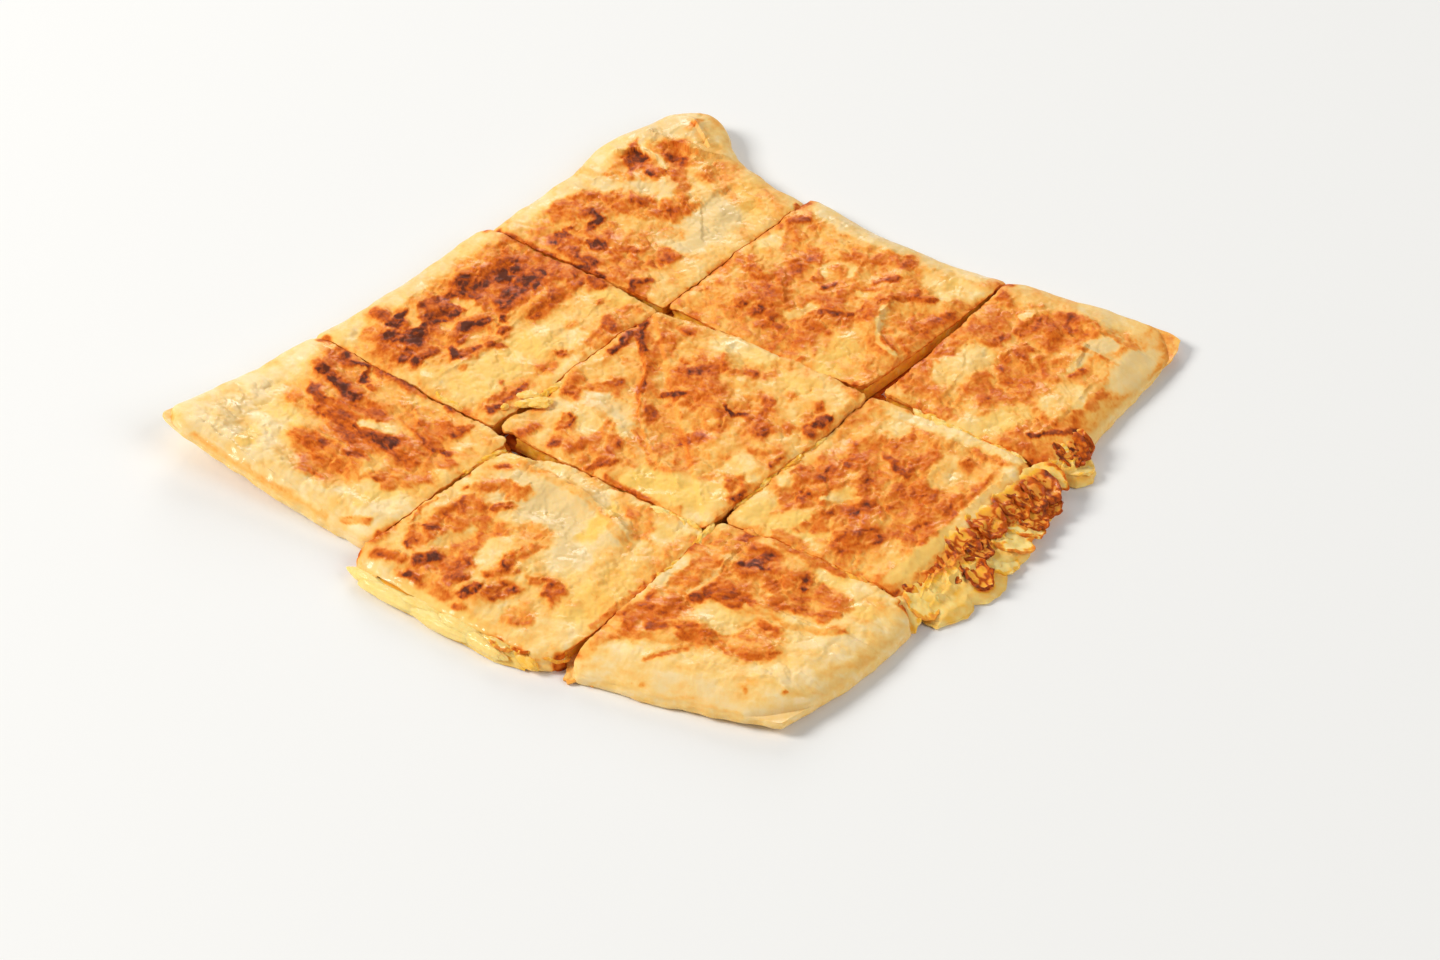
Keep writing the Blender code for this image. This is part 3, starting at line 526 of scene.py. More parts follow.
        (0.62, 2, (23, -82), (25, -82)), (0.66, 2, (29, -84), (31, -90)), (0.6, 3, (-32, -57), (-34, -70)),
        (0.74, 1.4, (-8, -72), (-4, -75)), (0.38, 5, (-26, -84), (-18, -86)),
        (0.18, 2.6, (-28, -92), (0, -94), (28, -93)), (0.08, 2.4, (30, -52), (32, -66), (34, -92)),
        (0.22, 3, (25, -55), (25, -58)), (0.26, 3, (22, -76), (12, -79)),
    ),
    "front_right": (
        (0.66, 5, (44, -49), (66, -48)), (0.6, 6, (72, -50), (86, -53)), (0.16, 5, (54, -54), (66, -57)),
        (0.14, 4, (36, -72), (46, -80)), (0.2, 4, (60, -84), (68, -88)), (0.6, 6, (52, -68), (58, -74)),
        (0.82, 2, (73, -57), (77, -58)), (0.78, 1.7, (92, -47), (94, -47)), (0.66, 2, (95, -57), (97, -59)),
        (0.74, 3, (83, -61), (90, -63)), (0.74, 4.2, (92, -66), (98, -72)), (0.66, 5, (84, -70), (94, -75)),
        (0.84, 1.2, (91, -73), (93, -70)), (0.8, 2.4, (72, -66), (76, -66)),
        (0.66, 3.6, (64, -69), (69, -66)), (0.66, 3.2, (55, -65), (58, -64)),
        (0.62, 5, (74, -76), (64, -78)), (0.82, 1.7, (75, -84), (77, -85)),
        (0.74, 1.4, (37, -56), (36, -55)), (0.62, 3, (38, -63)), (0.64, 4.4, (40, -86), (39, -95)),
        (0.62, 4, (48, -88), (54, -94)), (0.97, 1.0, (45, -89), (48, -92), (50, -95), (55, -98)),
        (0.66, 2, (60, -94), (73, -95)), (0.12, 3.6, (88, -82), (93, -84)), (0.12, 5, (80, -97), (94, -96)),
        (0.14, 4, (103, -70), (104, -86)), (0.26, 4, (98, -51), (100, -60)), (0.1, 2, (64, -92), (68, -91)),
        (0.44, 2, (98, -90), (97, -93)), (0.5, 0.7, (86, -78), (86, -92)), (0.5, 0.8, (97, -76), (95, -92)),
        (0.1, 1.4, (88, -57), (90, -58)), (0.12, 1.6, (76, -82), (82, -82)),
    ),
}


# Where the dough is glassy (below 0) or yolky (above 0), as a strength, a half width and places
TINTS = {
    "back_left": (
        (-0.3, 5, (-93, 100), (-94, 70)), (0.8, 3, (-87, 88)), (0.6, 4, (-74, 92), (-70, 84)),
        (0.7, 3, (-88, 45), (-70, 36)), (0.7, 3, (-50, 58)), (-0.5, 4, (-80, 98)),
    ),
    "back_middle": (
        (0.7, 6, (-30, 52), (-6, 50)), (0.8, 4, (22, 48), (26, 42)), (-0.5, 4, (-20, 97), (10, 95)),
        (0.6, 3, (-34, 64)),
    ),
    "back_right": (
        (-1.0, 8, (60, 44), (78, 44)), (-0.8, 5, (70, 80), (78, 62)), (-0.9, 6, (98, 88), (106, 78)),
        (0.8, 4, (84, 38), (92, 44)), (-0.6, 4, (60, 88)),
    ),
    "middle_left": (
        (-1.0, 9, (-60, 12), (-60, -12)), (0.9, 3, (-66, -14), (-52, -14)), (-0.8, 5, (-72, -16)),
        (0.8, 5, (-90, -32), (-74, -32)), (0.7, 4, (-110, 10), (-112, -14)), (0.6, 3, (-50, -30)),
    ),
    "centre": (
        (-1.0, 3.6, (-13, 22), (-17, 6), (-24, -4)), (0.9, 6, (-36, -12), (-32, -28)), (0.8, 5, (-26, -30)),
        (0.6, 4, (27, -6), (24, -26)), (-0.5, 4, (-22, 24)),
    ),
    "middle_right": (
        (0.9, 5, (36, -26), (46, -22)), (0.8, 3, (90, -32)), (-0.6, 4, (96, 10), (95, -20)),
        (0.5, 4, (70, 22)),
    ),
    "front_left": (
        (-1.0, 5.5, (-64, -46), (-52, -48)), (0.8, 3, (-44, -93)), (-0.5, 5, (-98, -70), (-94, -84)),
        (0.6, 4, (-38, -80)), (0.5, 4, (-66, -64)),
    ),
    "front_middle": (
        (0.8, 5, (-28, -46), (-24, -62)), (0.8, 3, (-6, -61)), (0.7, 5, (-24, -92), (-6, -94)),
        (-0.6, 3, (31, -56)),
    ),
    "front_right": (
        (-1.0, 5, (88, -80), (92, -88)), (-0.8, 6, (80, -97), (98, -96)), (0.6, 5, (38, -76), (48, -80)),
        (-0.6, 4, (104, -76)),
    ),
}

# Pleats of the dough: a height, how far the raised side reaches to the left of a line, and the line's places
PLEATS = {
    "back_left": (
        (0.7, 5, (-97, 44), (-96, 70), (-93, 104)), (0.4, 4, (-76, 84), (-74, 62), (-72, 46)),
        (0.45, 4, (-58, 88), (-62, 70), (-60, 56)), (0.4, 3, (-48, 60), (-56, 52), (-68, 50)),
    ),
    "back_middle": (
        (0.35, 4, (-36, 62), (-16, 58), (2, 60), (24, 54)), (0.3, 4, (24, 90), (4, 88), (-18, 94)),
        (0.3, 3, (-2, 50), (8, 44), (24, 46)),
    ),
    "back_right": (
        (1.5, 3, (93, 86), (93.5, 76), (95, 65), (101, 56)),
        (1.2, 4, (78, 88), (86, 82), (85, 76), (87, 69)), (1.4, 3, (108, 80), (104, 72), (99, 63)),
        (0.5, 5, (54, 86), (62, 72), (68, 56), (72, 38)), (0.4, 3, (60, 38), (76, 50), (92, 48)),
    ),
    "middle_left": (
        (0.8, 4, (-58, -26), (-52, -14), (-50, 4), (-49, 22)), (0.5, 4, (-100, 26), (-102, 4), (-106, -12)),
        (0.4, 4, (-68, -6), (-84, -3), (-100, -5)), (0.35, 3, (-74, 24), (-68, 10), (-70, -2)),
    ),
    "centre": (
        (1.1, 5, (24, 31), (12, 25), (3, 16), (-8, 10), (-16, 4)), (0.8, 4, (-14, 6), (-26, -8), (-33, -24)),
        (0.45, 3, (-20, 26), (-22, 14), (-30, 4)), (0.4, 4, (28, 6), (16, -2), (10, -16)),
    ),
    "middle_right": (
        (0.7, 4, (50, -40), (55, -30), (62, -25), (72, -23), (80, -36)),
        (0.4, 4, (36, 8), (52, 2), (66, 12)), (0.4, 4, (90, 22), (84, 6), (90, -12)),
    ),
    "front_left": (
        (0.8, 5, (-52, -97), (-57, -86), (-60, -68), (-66, -52)),
        (0.5, 4, (-64, -40), (-54, -53), (-42, -50)), (0.5, 5, (-96, -50), (-92, -74), (-80, -92)),
        (0.35, 3, (-72, -58), (-80, -66), (-82, -80)),
    ),
    "front_middle": (
        (0.5, 3, (30, -93), (0, -91), (-28, -89)), (0.35, 4, (-30, -58), (-14, -60), (0, -50)),
        (0.35, 3, (28, -70), (12, -76), (-2, -70)),
    ),
    "front_right": (
        (0.9, 3, (98, -97), (94, -88), (95, -76)),
        (0.8, 3, (76, -74), (79, -82), (88, -80), (90, -70), (82, -67)),
        (0.35, 4, (42, -60), (56, -58), (70, -50)), (0.4, 4, (44, -90), (60, -92), (78, -90)),
    ),
}

# Curds of the egg scrap: the middle, half sizes along, across and up, and the turn in degrees
SCRAP_LUMPS = (
    (-26.7, 31.3, 8.1, 3.8, 2.4, 0.8, -54), (-25.6, 36.0, 7.9, 3.4, 1.6, 0.7, -50),
    (-33.8, 38.2, 7.8, 1.3, 1.0, 0.8, 0), (-29.5, 34.6, 8.0, 2.8, 1.6, 0.7, -45),
)

# Where the egg outside a rim is burnt, in the same form as MARKS
EGG_MARKS = {
    "front_middle": (
        (0.62, 4.0, (-25, -96), (-10, -100)), (0.9, 3.0, (-4, -102), (-2, -104)),
        (0.75, 4.0, (4, -101), (14, -104)), (0.84, 4.0, (18, -102), (36, -102)),
        (0.97, 2.5, (-16, -114), (-13, -112)), (0.8, 2.0, (4, -112), (22, -109)),
    ),
    "front_right": (
        (0.97, 4.0, (44, -100), (50, -104)),
    ),
    "middle_left": (
        (0.8, 1.6, (-113, -21), (-115, -26)), (0.5, 1.5, (-112, -30), (-110, -34)),
        (0.35, 2.0, (-112, 20), (-113, -10)),
    ),
}

# Thin curled sheets on the egg outside each rim, and crisp shreds at one corner: the root, the tip, the
# width, the curl, and the browning at the rim and in the middle
PETALS = {
    "front_middle": (
        ((-14, -92, 7.4), (-19, -103, 4.0), 6.5, 0.6, 0.9, 0.5),
        ((-8, -93, 7.2), (-16, -105, 4.4), 6.5, 0.9, 0.93, 0.54),
        ((-22, -93, 7.0), (-27, -103, 3.8), 9, 0.5, 0.93, 0.4),
        ((-25, -96, 6.0), (-31, -107, 2.8), 9, 0.8, 0.5, 0.08),
        ((-29, -92, 5.6), (-38, -105, 2.2), 10, 0.4, 0.25, 0.06),
        ((-2, -93, 7.4), (-6, -104, 5.0), 8.5, 1.5, 0.9, 0.44),
        ((3, -93, 7.2), (0, -102, 5.2), 7.5, 1.1, 0.85, 0.46),
        ((9, -93, 7.6), (6, -105, 5.2), 10.5, 1.9, 0.88, 0.46),
        ((14, -94, 7.0), (12, -104, 5.0), 8, 1.2, 0.8, 0.44),
        ((20, -94, 7.4), (17, -106, 5.2), 10, 1.6, 0.88, 0.48),
        ((26, -94, 7.4), (22, -108, 4.8), 10, 1.7, 0.92, 0.56),
        ((31, -95, 7.2), (27, -109, 4.4), 9.5, 1.7, 0.92, 0.54),
        ((35, -96, 6.8), (34, -108, 4.6), 7.5, 0.9, 0.72, 0.14),
        ((6, -101, 5.3), (10, -113, 3.2), 11, 0.6, 0.62, 0.03),
        ((-2, -104, 4.0), (1, -113.5, 1.6), 10, 0.4, 0.26, 0.02),
        ((-8, -102, 5.0), (-12, -113, 3.0), 7.5, 2.4, 0.97, 0.4),
        ((-3, -98, 6.2), (-2, -107, 4.6), 6.5, 1.3, 0.95, 0.6),
        ((19, -103, 5.2), (18, -111, 3.2), 9, 1.3, 0.92, 0.5),
        ((26, -104, 5.0), (25, -111, 3.0), 8.5, 1.1, 0.9, 0.45),
        ((12, -104, 4.8), (17, -112, 2.6), 8, 0.7, 0.7, 0.08),
    ),
    "front_right": (
        ((51, -94, 6.8), (46.5, -106, 4.0), 9, 1.7, 0.97, 0.7),
        ((45, -94, 6.4), (43, -103, 4.2), 7, 0.9, 0.3, 0.06),
        ((54, -95, 6.2), (51, -105, 3.6), 7, 1.1, 0.86, 0.45),
        ((41, -103, 3.8), (49, -107.5, 2.4), 6.5, 0.5, 0.2, 0.04),
        ((48, -96, 6.2), (44, -105, 4.2), 6, 1.3, 0.97, 0.65),
        ((40, -96, 5.6), (38, -104, 2.8), 6.5, 0.6, 0.4, 0.1),
    ),
    "middle_left": (
        ((-108, -16, 5.2), (-108.5, -25, 4.4), 6.0, 1.2, 0.6, 0.08),
        ((-107, -22, 5.0), (-105.5, -31, 4.2), 6.4, 1.5, 0.8, 0.12),
        ((-106, -29, 4.8), (-102, -38, 3.6), 6.4, 1.0, 0.5, 0.1),
        ((-110, -10, 2.6), (-105, -34, 2.2), 5.0, 0.5, 0.45, 0.12),
    ),
    "front_left": (
        ((-98, -43, 2.2), (-107.5, -41, 0.9), 6.0, 0.2, 0.36, 0.2),
        ((-97, -46, 1.9), (-105, -47, 0.9), 5.0, 0.2, 0.42, 0.22),
        ((-98, -40, 2.6), (-103, -38, 1.2), 4.4, 0.2, 0.34, 0.2),
    ),
}

# Smooth rolls of egg on a rim: the middle, half sizes along, across and up, a turn in degrees and a browning
ROLLS = {
    "middle_left": ((-109.4, 25.0, 3.2, 8.5, 1.8, 1.9, 86, 0.03),
                    (-110.8, 15.0, 3.0, 13.0, 2.2, 2.3, 91, 0.02),
                    (-110.0, 7.0, 3.9, 9.0, 1.9, 1.8, 95, 0.06),
                    (-111.2, 0.0, 2.7, 13.0, 2.2, 2.4, 88, 0.02),
                    (-110.0, -6.0, 3.9, 8.0, 2.2, 2.0, 93, 0.04),
                    (-110.6, -14.0, 2.8, 10.0, 2.3, 2.4, 84, 0.06),
                    (-109.4, -19.0, 3.2, 7.0, 2.2, 2.2, 92, 0.14),
                    (-108.2, -27.0, 2.6, 6.4, 2.1, 2.1, 78, 0.24)),
}

# Crumbs of egg in the holes between slices, dark partly as painted shade: the middle, a size and a browning
CRUMBS = (
    (-43.6, 32.6, 1.4, 3.2, 0.72), (-45.2, 28.2, 1.4, 2.6, 0.8), (-44.2, 21.4, 0.9, 3.8, 1.0),
    (30.8, 31.0, 1.2, 2.8, 0.7), (33.4, 30.4, 1.2, 2.6, 0.62), (28.6, 29.4, 1.0, 2.2, 0.74),
    (35.6, 30.0, 1.0, 2.0, 0.6), (33.2, -42.4, 1.2, 2.8, 0.7), (36.2, -41.2, 1.1, 2.6, 0.62),
    (38.8, -41.4, 1.0, 2.4, 0.72), (33.4, -39.6, 1.0, 2.4, 0.8), (-38.6, -39.2, 1.4, 2.2, 0.4),
    (-41.0, -38.4, 1.2, 1.8, 0.36),
)

# Stretches of cuts that egg and soft dough close: their depth, half width, browning and places
SEAMS = (
    (1.35, 1.2, 0.16, (-42.1, -22), (-41.8, -36)),
    (1.35, 1.1, 0.2, (-66, -39.7), (-52, -39.6), (-39, -39.2)),
    # The next stretch's browning is raised as painted shade in the cut between front_left and front_middle
    (1.5, 1.2, 0.5, (-35.2, -48), (-33, -70), (-32.4, -90)),
    (1.4, 1.0, 0.3, (-28, -39.8), (-3, -41.3), (10, -42)),
    (1.4, 1.2, 0.16, (34.6, -56), (35.2, -72), (35.4, -92)), (1.35, 1.1, 0.3, (-62, 30.6), (-48, 28.2)),
    (1.4, 1.0, 0.3, (-40, 62), (-40.4, 50)), (1.4, 1.2, 0.2, (-26, 33.6), (-10, 32.4), (8, 31)),
)


def srgb(red, green, blue):
    """Linear colour of a shade given as it looks, from 0 to 255."""
    shares = (part / 255.0 for part in (red, green, blue))
    return tuple(part / 12.92 if part <= 0.04045 else ((part + 0.055) / 1.055) ** 2.4 for part in shares)


def shade(label, red, green, blue):
    """A colour that can be changed in the panel."""
    return FloatVectorProperty(name=label, description=f"Colour of the {label.lower()}", subtype="COLOR",
                               default=srgb(red, green, blue), min=0.0, max=1.0)


def length(label, millimetres, meaning):
    """A length that can be changed in the panel."""
    return FloatProperty(name=label, description=meaning, default=millimetres * MM, unit="LENGTH",
                         precision=5)


class BreadSizes(bpy.types.PropertyGroup):
    """Sizes of the bread's fine surface."""
    skin_spacing: length("Skin spacing", 0.38, "Distance between modelled points of the fried skin")
    egg_spacing: length("Egg spacing", 0.6, "Distance between modelled points of the egg")
    wrinkle_height: length("Wrinkle height", 0.05, "Height of the fine wrinkles in the skin")
    layer_step: length("Layer step", 0.22, "Step where one leaf of dough ends on the next")
    blister_height: length("Blister height", 0.42, "Height by which browned skin stands over pale skin")
    cut_fray: length("Cut fray", 0.6, "How far the cuts stray from straight lines")
    cut_gap: length("Cut gap", 0.5, "Width of a cut that lies shut")
    cut_spread: length("Cut spread", 1.0, "Most that the skin spreads into a cut")
    rim_fray: length("Rim fray", 0.9, "Unevenness of the rim in plan")
    cut_droop: length("Cut droop", 0.5, "Fall of the skin where the knife pressed it down")
    egg_lump: length("Egg lump", 0.55, "Unevenness of the egg at a cut")
    wall_levels: IntProperty(name="Wall levels", description="Rows of faces down the side of a slice",
                             default=11, min=4, max=40)


class BreadColours(bpy.types.PropertyGroup):
    """Colours of the dough from raw to burnt, and of the egg."""
    cream: shade("Cream dough", 252, 222, 164)
    straw: shade("Straw dough", 251, 206, 124)
    golden: shade("Golden dough", 248, 184, 90)
    amber: shade("Amber dough", 242, 157, 62)
    orange: shade("Orange dough", 228, 128, 42)
    russet: shade("Russet dough", 212, 101, 18)
    chestnut: shade("Chestnut dough", 178, 77, 18)
    plum: shade("Plum brown dough", 138, 60, 24)
    soot: shade("Burnt dough", 96, 44, 24)
    glassy: shade("Glassy dough", 232, 200, 138)
    yolk: shade("Yolky dough", 250, 198, 84)
    egg_pale: shade("Pale egg", 255, 222, 138)
    egg_yellow: shade("Yellow egg", 255, 187, 56)
    floor: shade("Floor", 240, 240, 238)


def smoothstep(value):
    """Rise softly from 0 to 1."""
    value = np.clip(value, 0.0, 1.0)
    return value * value * (3.0 - 2.0 * value)


def mix(low, high, share):
    """Value at a share of the way from low to high."""
    return low + (high - low) * share


# Directions that the noise is made from, large numbers that scatter its cells over them, its strength, how
# much finer and how much weaker each further octave is, and how far cells stray and how thick their walls are
DIRECTIONS = np.random.default_rng(11).normal(size=(256, 3))
DIRECTIONS /= np.linalg.norm(DIRECTIONS, axis=1)[:, None]
SCATTER = (374761393, 668265263, 1440662683, 974634777, 1274126177)
NOISE_STRENGTH = 1.7
OCTAVE_STEP = 2.1
OCTAVE_SHARE = 0.55
CELL_STRAY = 0.42
CELL_WALL = 0.4


def lattice(cells, seed):
    """A direction that looks random for each whole-numbered cell."""
    mixed = cells[:, 0] * SCATTER[0] + cells[:, 1] * SCATTER[1] + cells[:, 2] * SCATTER[2]
    mixed = mixed + seed * SCATTER[3]
    mixed = (mixed ^ (mixed >> 13)) * SCATTER[4]
    return DIRECTIONS[(mixed ^ (mixed >> 16)) & 255]


def ripple(places, width, seed=0):
    """Smooth noise of about -1 to 1 whose bumps are about one width wide."""
    if places.shape[1] == 2:
        places = np.column_stack((places, np.zeros(len(places))))
    places = places / width
    cells = np.floor(places).astype(np.int64)
    part = places - cells
    soft = part ** 3 * (part * (part * 6.0 - 15.0) + 10.0)
    total = np.zeros(len(places))
    for corner in np.ndindex(2, 2, 2):
        offset = np.array(corner)
        weight = np.prod(np.where(offset == 1, soft, 1.0 - soft), axis=1)
        total += weight * np.einsum("ij,ij->i", lattice(cells + offset, seed), part - offset)
    return total * NOISE_STRENGTH


def rough(places, width, seed=0, octaves=3):
    """Noise with finer and finer detail on it."""
    total = np.zeros(len(places))
    for octave in range(octaves):
        layer = ripple(places, width=width / OCTAVE_STEP ** octave, seed=seed + octave)
        total += layer * OCTAVE_SHARE ** octave
    return total


def sway(places, width, seeds, octaves=1):
    """Noise to the right and back, with a seed for each, for bending places."""
    return np.column_stack([rough(places, width, seed, octaves) for seed in seeds])


def cell_walls(places, width, seed=0):
    """1 on the walls between irregular cells, falling to 0 inside them."""
    places = places / width
    cells = np.floor(places).astype(np.int64)
    first = np.full(len(places), 9.0)
    second = np.full(len(places), 9.0)
    for right in (-1, 0, 1):
        for back in (-1, 0, 1):
            home = cells + (right, back)
            flat = np.column_stack((home, np.zeros(len(home), np.int64)))
            spot = home + 0.5 + CELL_STRAY * lattice(flat, seed)[:, :2]
            away = np.linalg.norm(places - spot, axis=1)
            second = np.minimum(second, np.maximum(first, away))
            first = np.minimum(first, away)
    return 1.0 - smoothstep((second - first) / CELL_WALL)


def plan(piece, u, v):
    """Places in plan of points at shares u of the way right and v of the way back."""
    fl, fr, br, bl = (np.array(corner) for corner in piece.corners)
    place = mix(mix(fl, fr, u[:, None]), mix(bl, br, u[:, None]), v[:, None])
    sides = ((fl, fr, u, 1.0 - v), (fr, br, v, u), (br, bl, 1.0 - u, v), (bl, fl, 1.0 - v, 1.0 - u))
    for bulge, (start, end, along, weight) in zip(piece.bulges, sides):
        run = (end - start) / np.linalg.norm(end - start)
        outward = np.array((run[1], -run[0]))
        place = place + outward * (bulge * 4.0 * along * (1.0 - along) * weight)[:, None]
    return place


def spans(piece):
    """Mean width along X and mean depth along Y of a slice."""
    fl, fr, br, bl = (Vector(corner) for corner in piece.corners)
    return ((fr - fl).length + (br - bl).length) / 2.0, ((bl - fl).length + (br - fr).length) / 2.0


def soften(x, y, width, depth, radii):
    """Pull a rectangle's corners in to round ones, x and y being distances from its front left corner."""
    x = x.copy()
    y = y.copy()
    for radius, (right, back) in zip(radii, ((0, 0), (1, 0), (1, 1), (0, 1))):
        if radius <= 0.0:
            continue
        from_x = width - x if right else x
        from_y = depth - y if back else y
        near = (from_x >= 0.0) & (from_x < radius) & (from_y >= 0.0) & (from_y < radius)
        part_x = 1.0 - from_x[near] / radius
        part_y = 1.0 - from_y[near] / radius
        new_x = radius - radius * part_x * np.sqrt(1.0 - part_y * part_y / 2.0)
        new_y = radius - radius * part_y * np.sqrt(1.0 - part_x * part_x / 2.0)
        x[near] = width - new_x if right else new_x
        y[near] = depth - new_y if back else new_y
    return x, y


def left_of(line, places):
    """Distances of places to the left of a line that runs from its start to its end."""
    start = np.array(line.start, float)
    run = np.array(line.end, float) - start
    away = places - start
    return (run[0] * away[:, 1] - run[1] * away[:, 0]) / np.linalg.norm(run)


def from_path(places, points):
    """Distances of places from a line through several points."""
    points = [np.array(point, float) for point in points]
    if len(points) == 1:
        return np.linalg.norm(places - points[0], axis=1)
    nearest = np.full(len(places), 1e9)
    for start, end in zip(points, points[1:]):
        run = end - start
        along = np.clip((places - start) @ run / (run @ run), 0.0, 1.0)
        nearest = np.minimum(nearest, np.linalg.norm(places - start - along[:, None] * run, axis=1))
    return nearest


def left_side(places, points):
    """Distances to the left of a line through points (below 0 to its right), and along it from an end."""
    points = [np.array(point, float) for point in points]
    nearest = np.full(len(places), 1e9)
    signed = np.full(len(places), 1e9)
    ends = np.full(len(places), 1e9)
    total = sum(np.linalg.norm(end - start) for start, end in zip(points, points[1:]))
    gone = 0.0
    for start, end in zip(points, points[1:]):
        run = end - start
        size = np.linalg.norm(run)
        away = places - start
        along = np.clip(away @ run / (size * size), 0.0, 1.0)
        distance = np.linalg.norm(away - along[:, None] * run, axis=1)
        side = np.where(run[0] * away[:, 1] - run[1] * away[:, 0] > 0.0, 1.0, -1.0)
        closer = distance < nearest
        nearest = np.where(closer, distance, nearest)
        signed = np.where(closer, distance * side, signed)
        place = gone + along * size
        ends = np.where(closer, np.minimum(place, total - place), ends)
        gone += size
    return signed, ends


def lift_at(piece, places):
    """Heights by which a curling corner raises the underside."""
    if piece.lift is None:
        return np.zeros(len(places))
    return piece.lift.height * np.maximum(left_of(piece.lift, places) / piece.lift.reach, 0.0) ** BEND_CURVE


def solid_noise(places, layer, width):
    """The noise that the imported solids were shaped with."""
    return np.array([noise.noise(Vector((x, y, layer)) / width) for x, y in places.tolist()])


def puff_at(places):
    """Broad unevenness of the top."""
    return PUFF_HEIGHT * solid_noise(places, PUFF_LAYER, PUFF_WIDTH)


def relief_at(piece, places):
    """Lumps, creases and flaps on the top of a slice."""
    height = LUMP_HEIGHT * solid_noise(places, LUMP_LAYER, LUMP_WIDTH)
    for form in piece.relief:
        if isinstance(form, Fold):
            away = from_path(places, (form.start, form.end))
            height += form.height * np.exp(-(away / form.width) ** 2)
        else:
            height += form.height * smoothstep(0.5 + left_of(form, places) / FLAP_EDGE)
    return height


def side_distances(x, y, width, depth):
    """Distances from points to each of the four sides, by side."""
    return {FRONT: y, RIGHT: width - x, BACK: depth - y, LEFT: x}


def shoulder_drop(piece, distances):
    """Fall of the top towards the rim, less where egg holds it up."""
    reach, fall = piece.shoulder
    near = [np.maximum(reach - distances[side], 0.0) / reach for side in piece.rim]
    if not near:
        return 0.0
    ooze = piece.ooze
    if ooze is not None:
        along = distances[LEFT] if ooze.side == FRONT else distances[BACK]
        beyond = np.maximum(np.maximum(ooze.start - along, along - ooze.end), 0.0)
        open_share = smoothstep(1.0 - beyond / MOUTH_BLEND) * smoothstep(2.0 - distances[ooze.side] / reach)
        fall = mix(fall, MOUTH_FALL, open_share)
    out = np.minimum(np.sqrt(sum(part * part for part in near)), 1.0)
    return fall * (1.0 - np.sqrt(1.0 - out * out))


def thickness_at(piece, places):
    """Share of the full thickness that a slice has, less than 1 at a thin corner."""
    if piece.thin is None:
        return np.ones(len(places))
    x, y, reach, lack = piece.thin
    return 1.0 - lack * np.exp(-(np.linalg.norm(places - (x, y), axis=1) / reach) ** 2)


def room_at(piece, places):
    """Height of the room for the egg, without the lift of a curled corner."""
    return (TOP - OVER_DOUGH + puff_at(places)) * thickness_at(piece, places)


def edge_line(piece, side, share):
    """Places along one side of a slice, at shares of its length counted right or back."""
    low = np.zeros(len(share))
    high = np.ones(len(share))
    ways = {FRONT: (share, low), RIGHT: (high, share), BACK: (share, high), LEFT: (low, share)}
    return plan(piece, *ways[side])


def middle_of(piece):
    """The place in the middle of a slice."""
    return plan(piece, np.array([0.5]), np.array([0.5]))


def spread_at(piece, side, share, sizes):
    """How far the skin spreads over a cut, so that narrow cuts lie almost shut and the holes stay open."""
    steps = np.linspace(0.0, 1.0, EDGE_STEPS)
    others = np.vstack([edge_line(other, edge, steps) for other in SLICES.values() if other is not piece
                        for edge in range(4) if edge not in other.rim])
    own = edge_line(piece, side, steps)
    away = np.linalg.norm(own[:, None] - others[None], axis=2).min(axis=1)
    spread = np.clip((away - sizes.cut_gap / MM) / 2.0, 0.0, sizes.cut_spread / MM)
    spread = mix(spread, HOLE_SPREAD, smoothstep((away - HOLE_WIDTH) / 2.0))
    return np.interp(share, steps, spread)


def along_grain(piece, places, stretch):
    """Places squeezed along a slice's grain, so that noise on them is drawn out along it."""
    turn = math.radians(piece.grain)
    along = places @ np.array((math.cos(turn), math.sin(turn)))
    across = places @ np.array((-math.sin(turn), math.cos(turn)))
    return np.column_stack((along / stretch, across))


def blister_walls(places):
    """1 in the valleys between blisters of the skin, where there are any, and 0 on the blisters."""
    curved = places + 1.3 * sway(places, width=3.2, seeds=(30, 33), octaves=3)
    blistered = np.clip(0.5 + 0.9 * ripple(places, width=8.0, seed=36), 0.0, 1.0)
    return cell_walls(curved, width=5.2, seed=34) * blistered


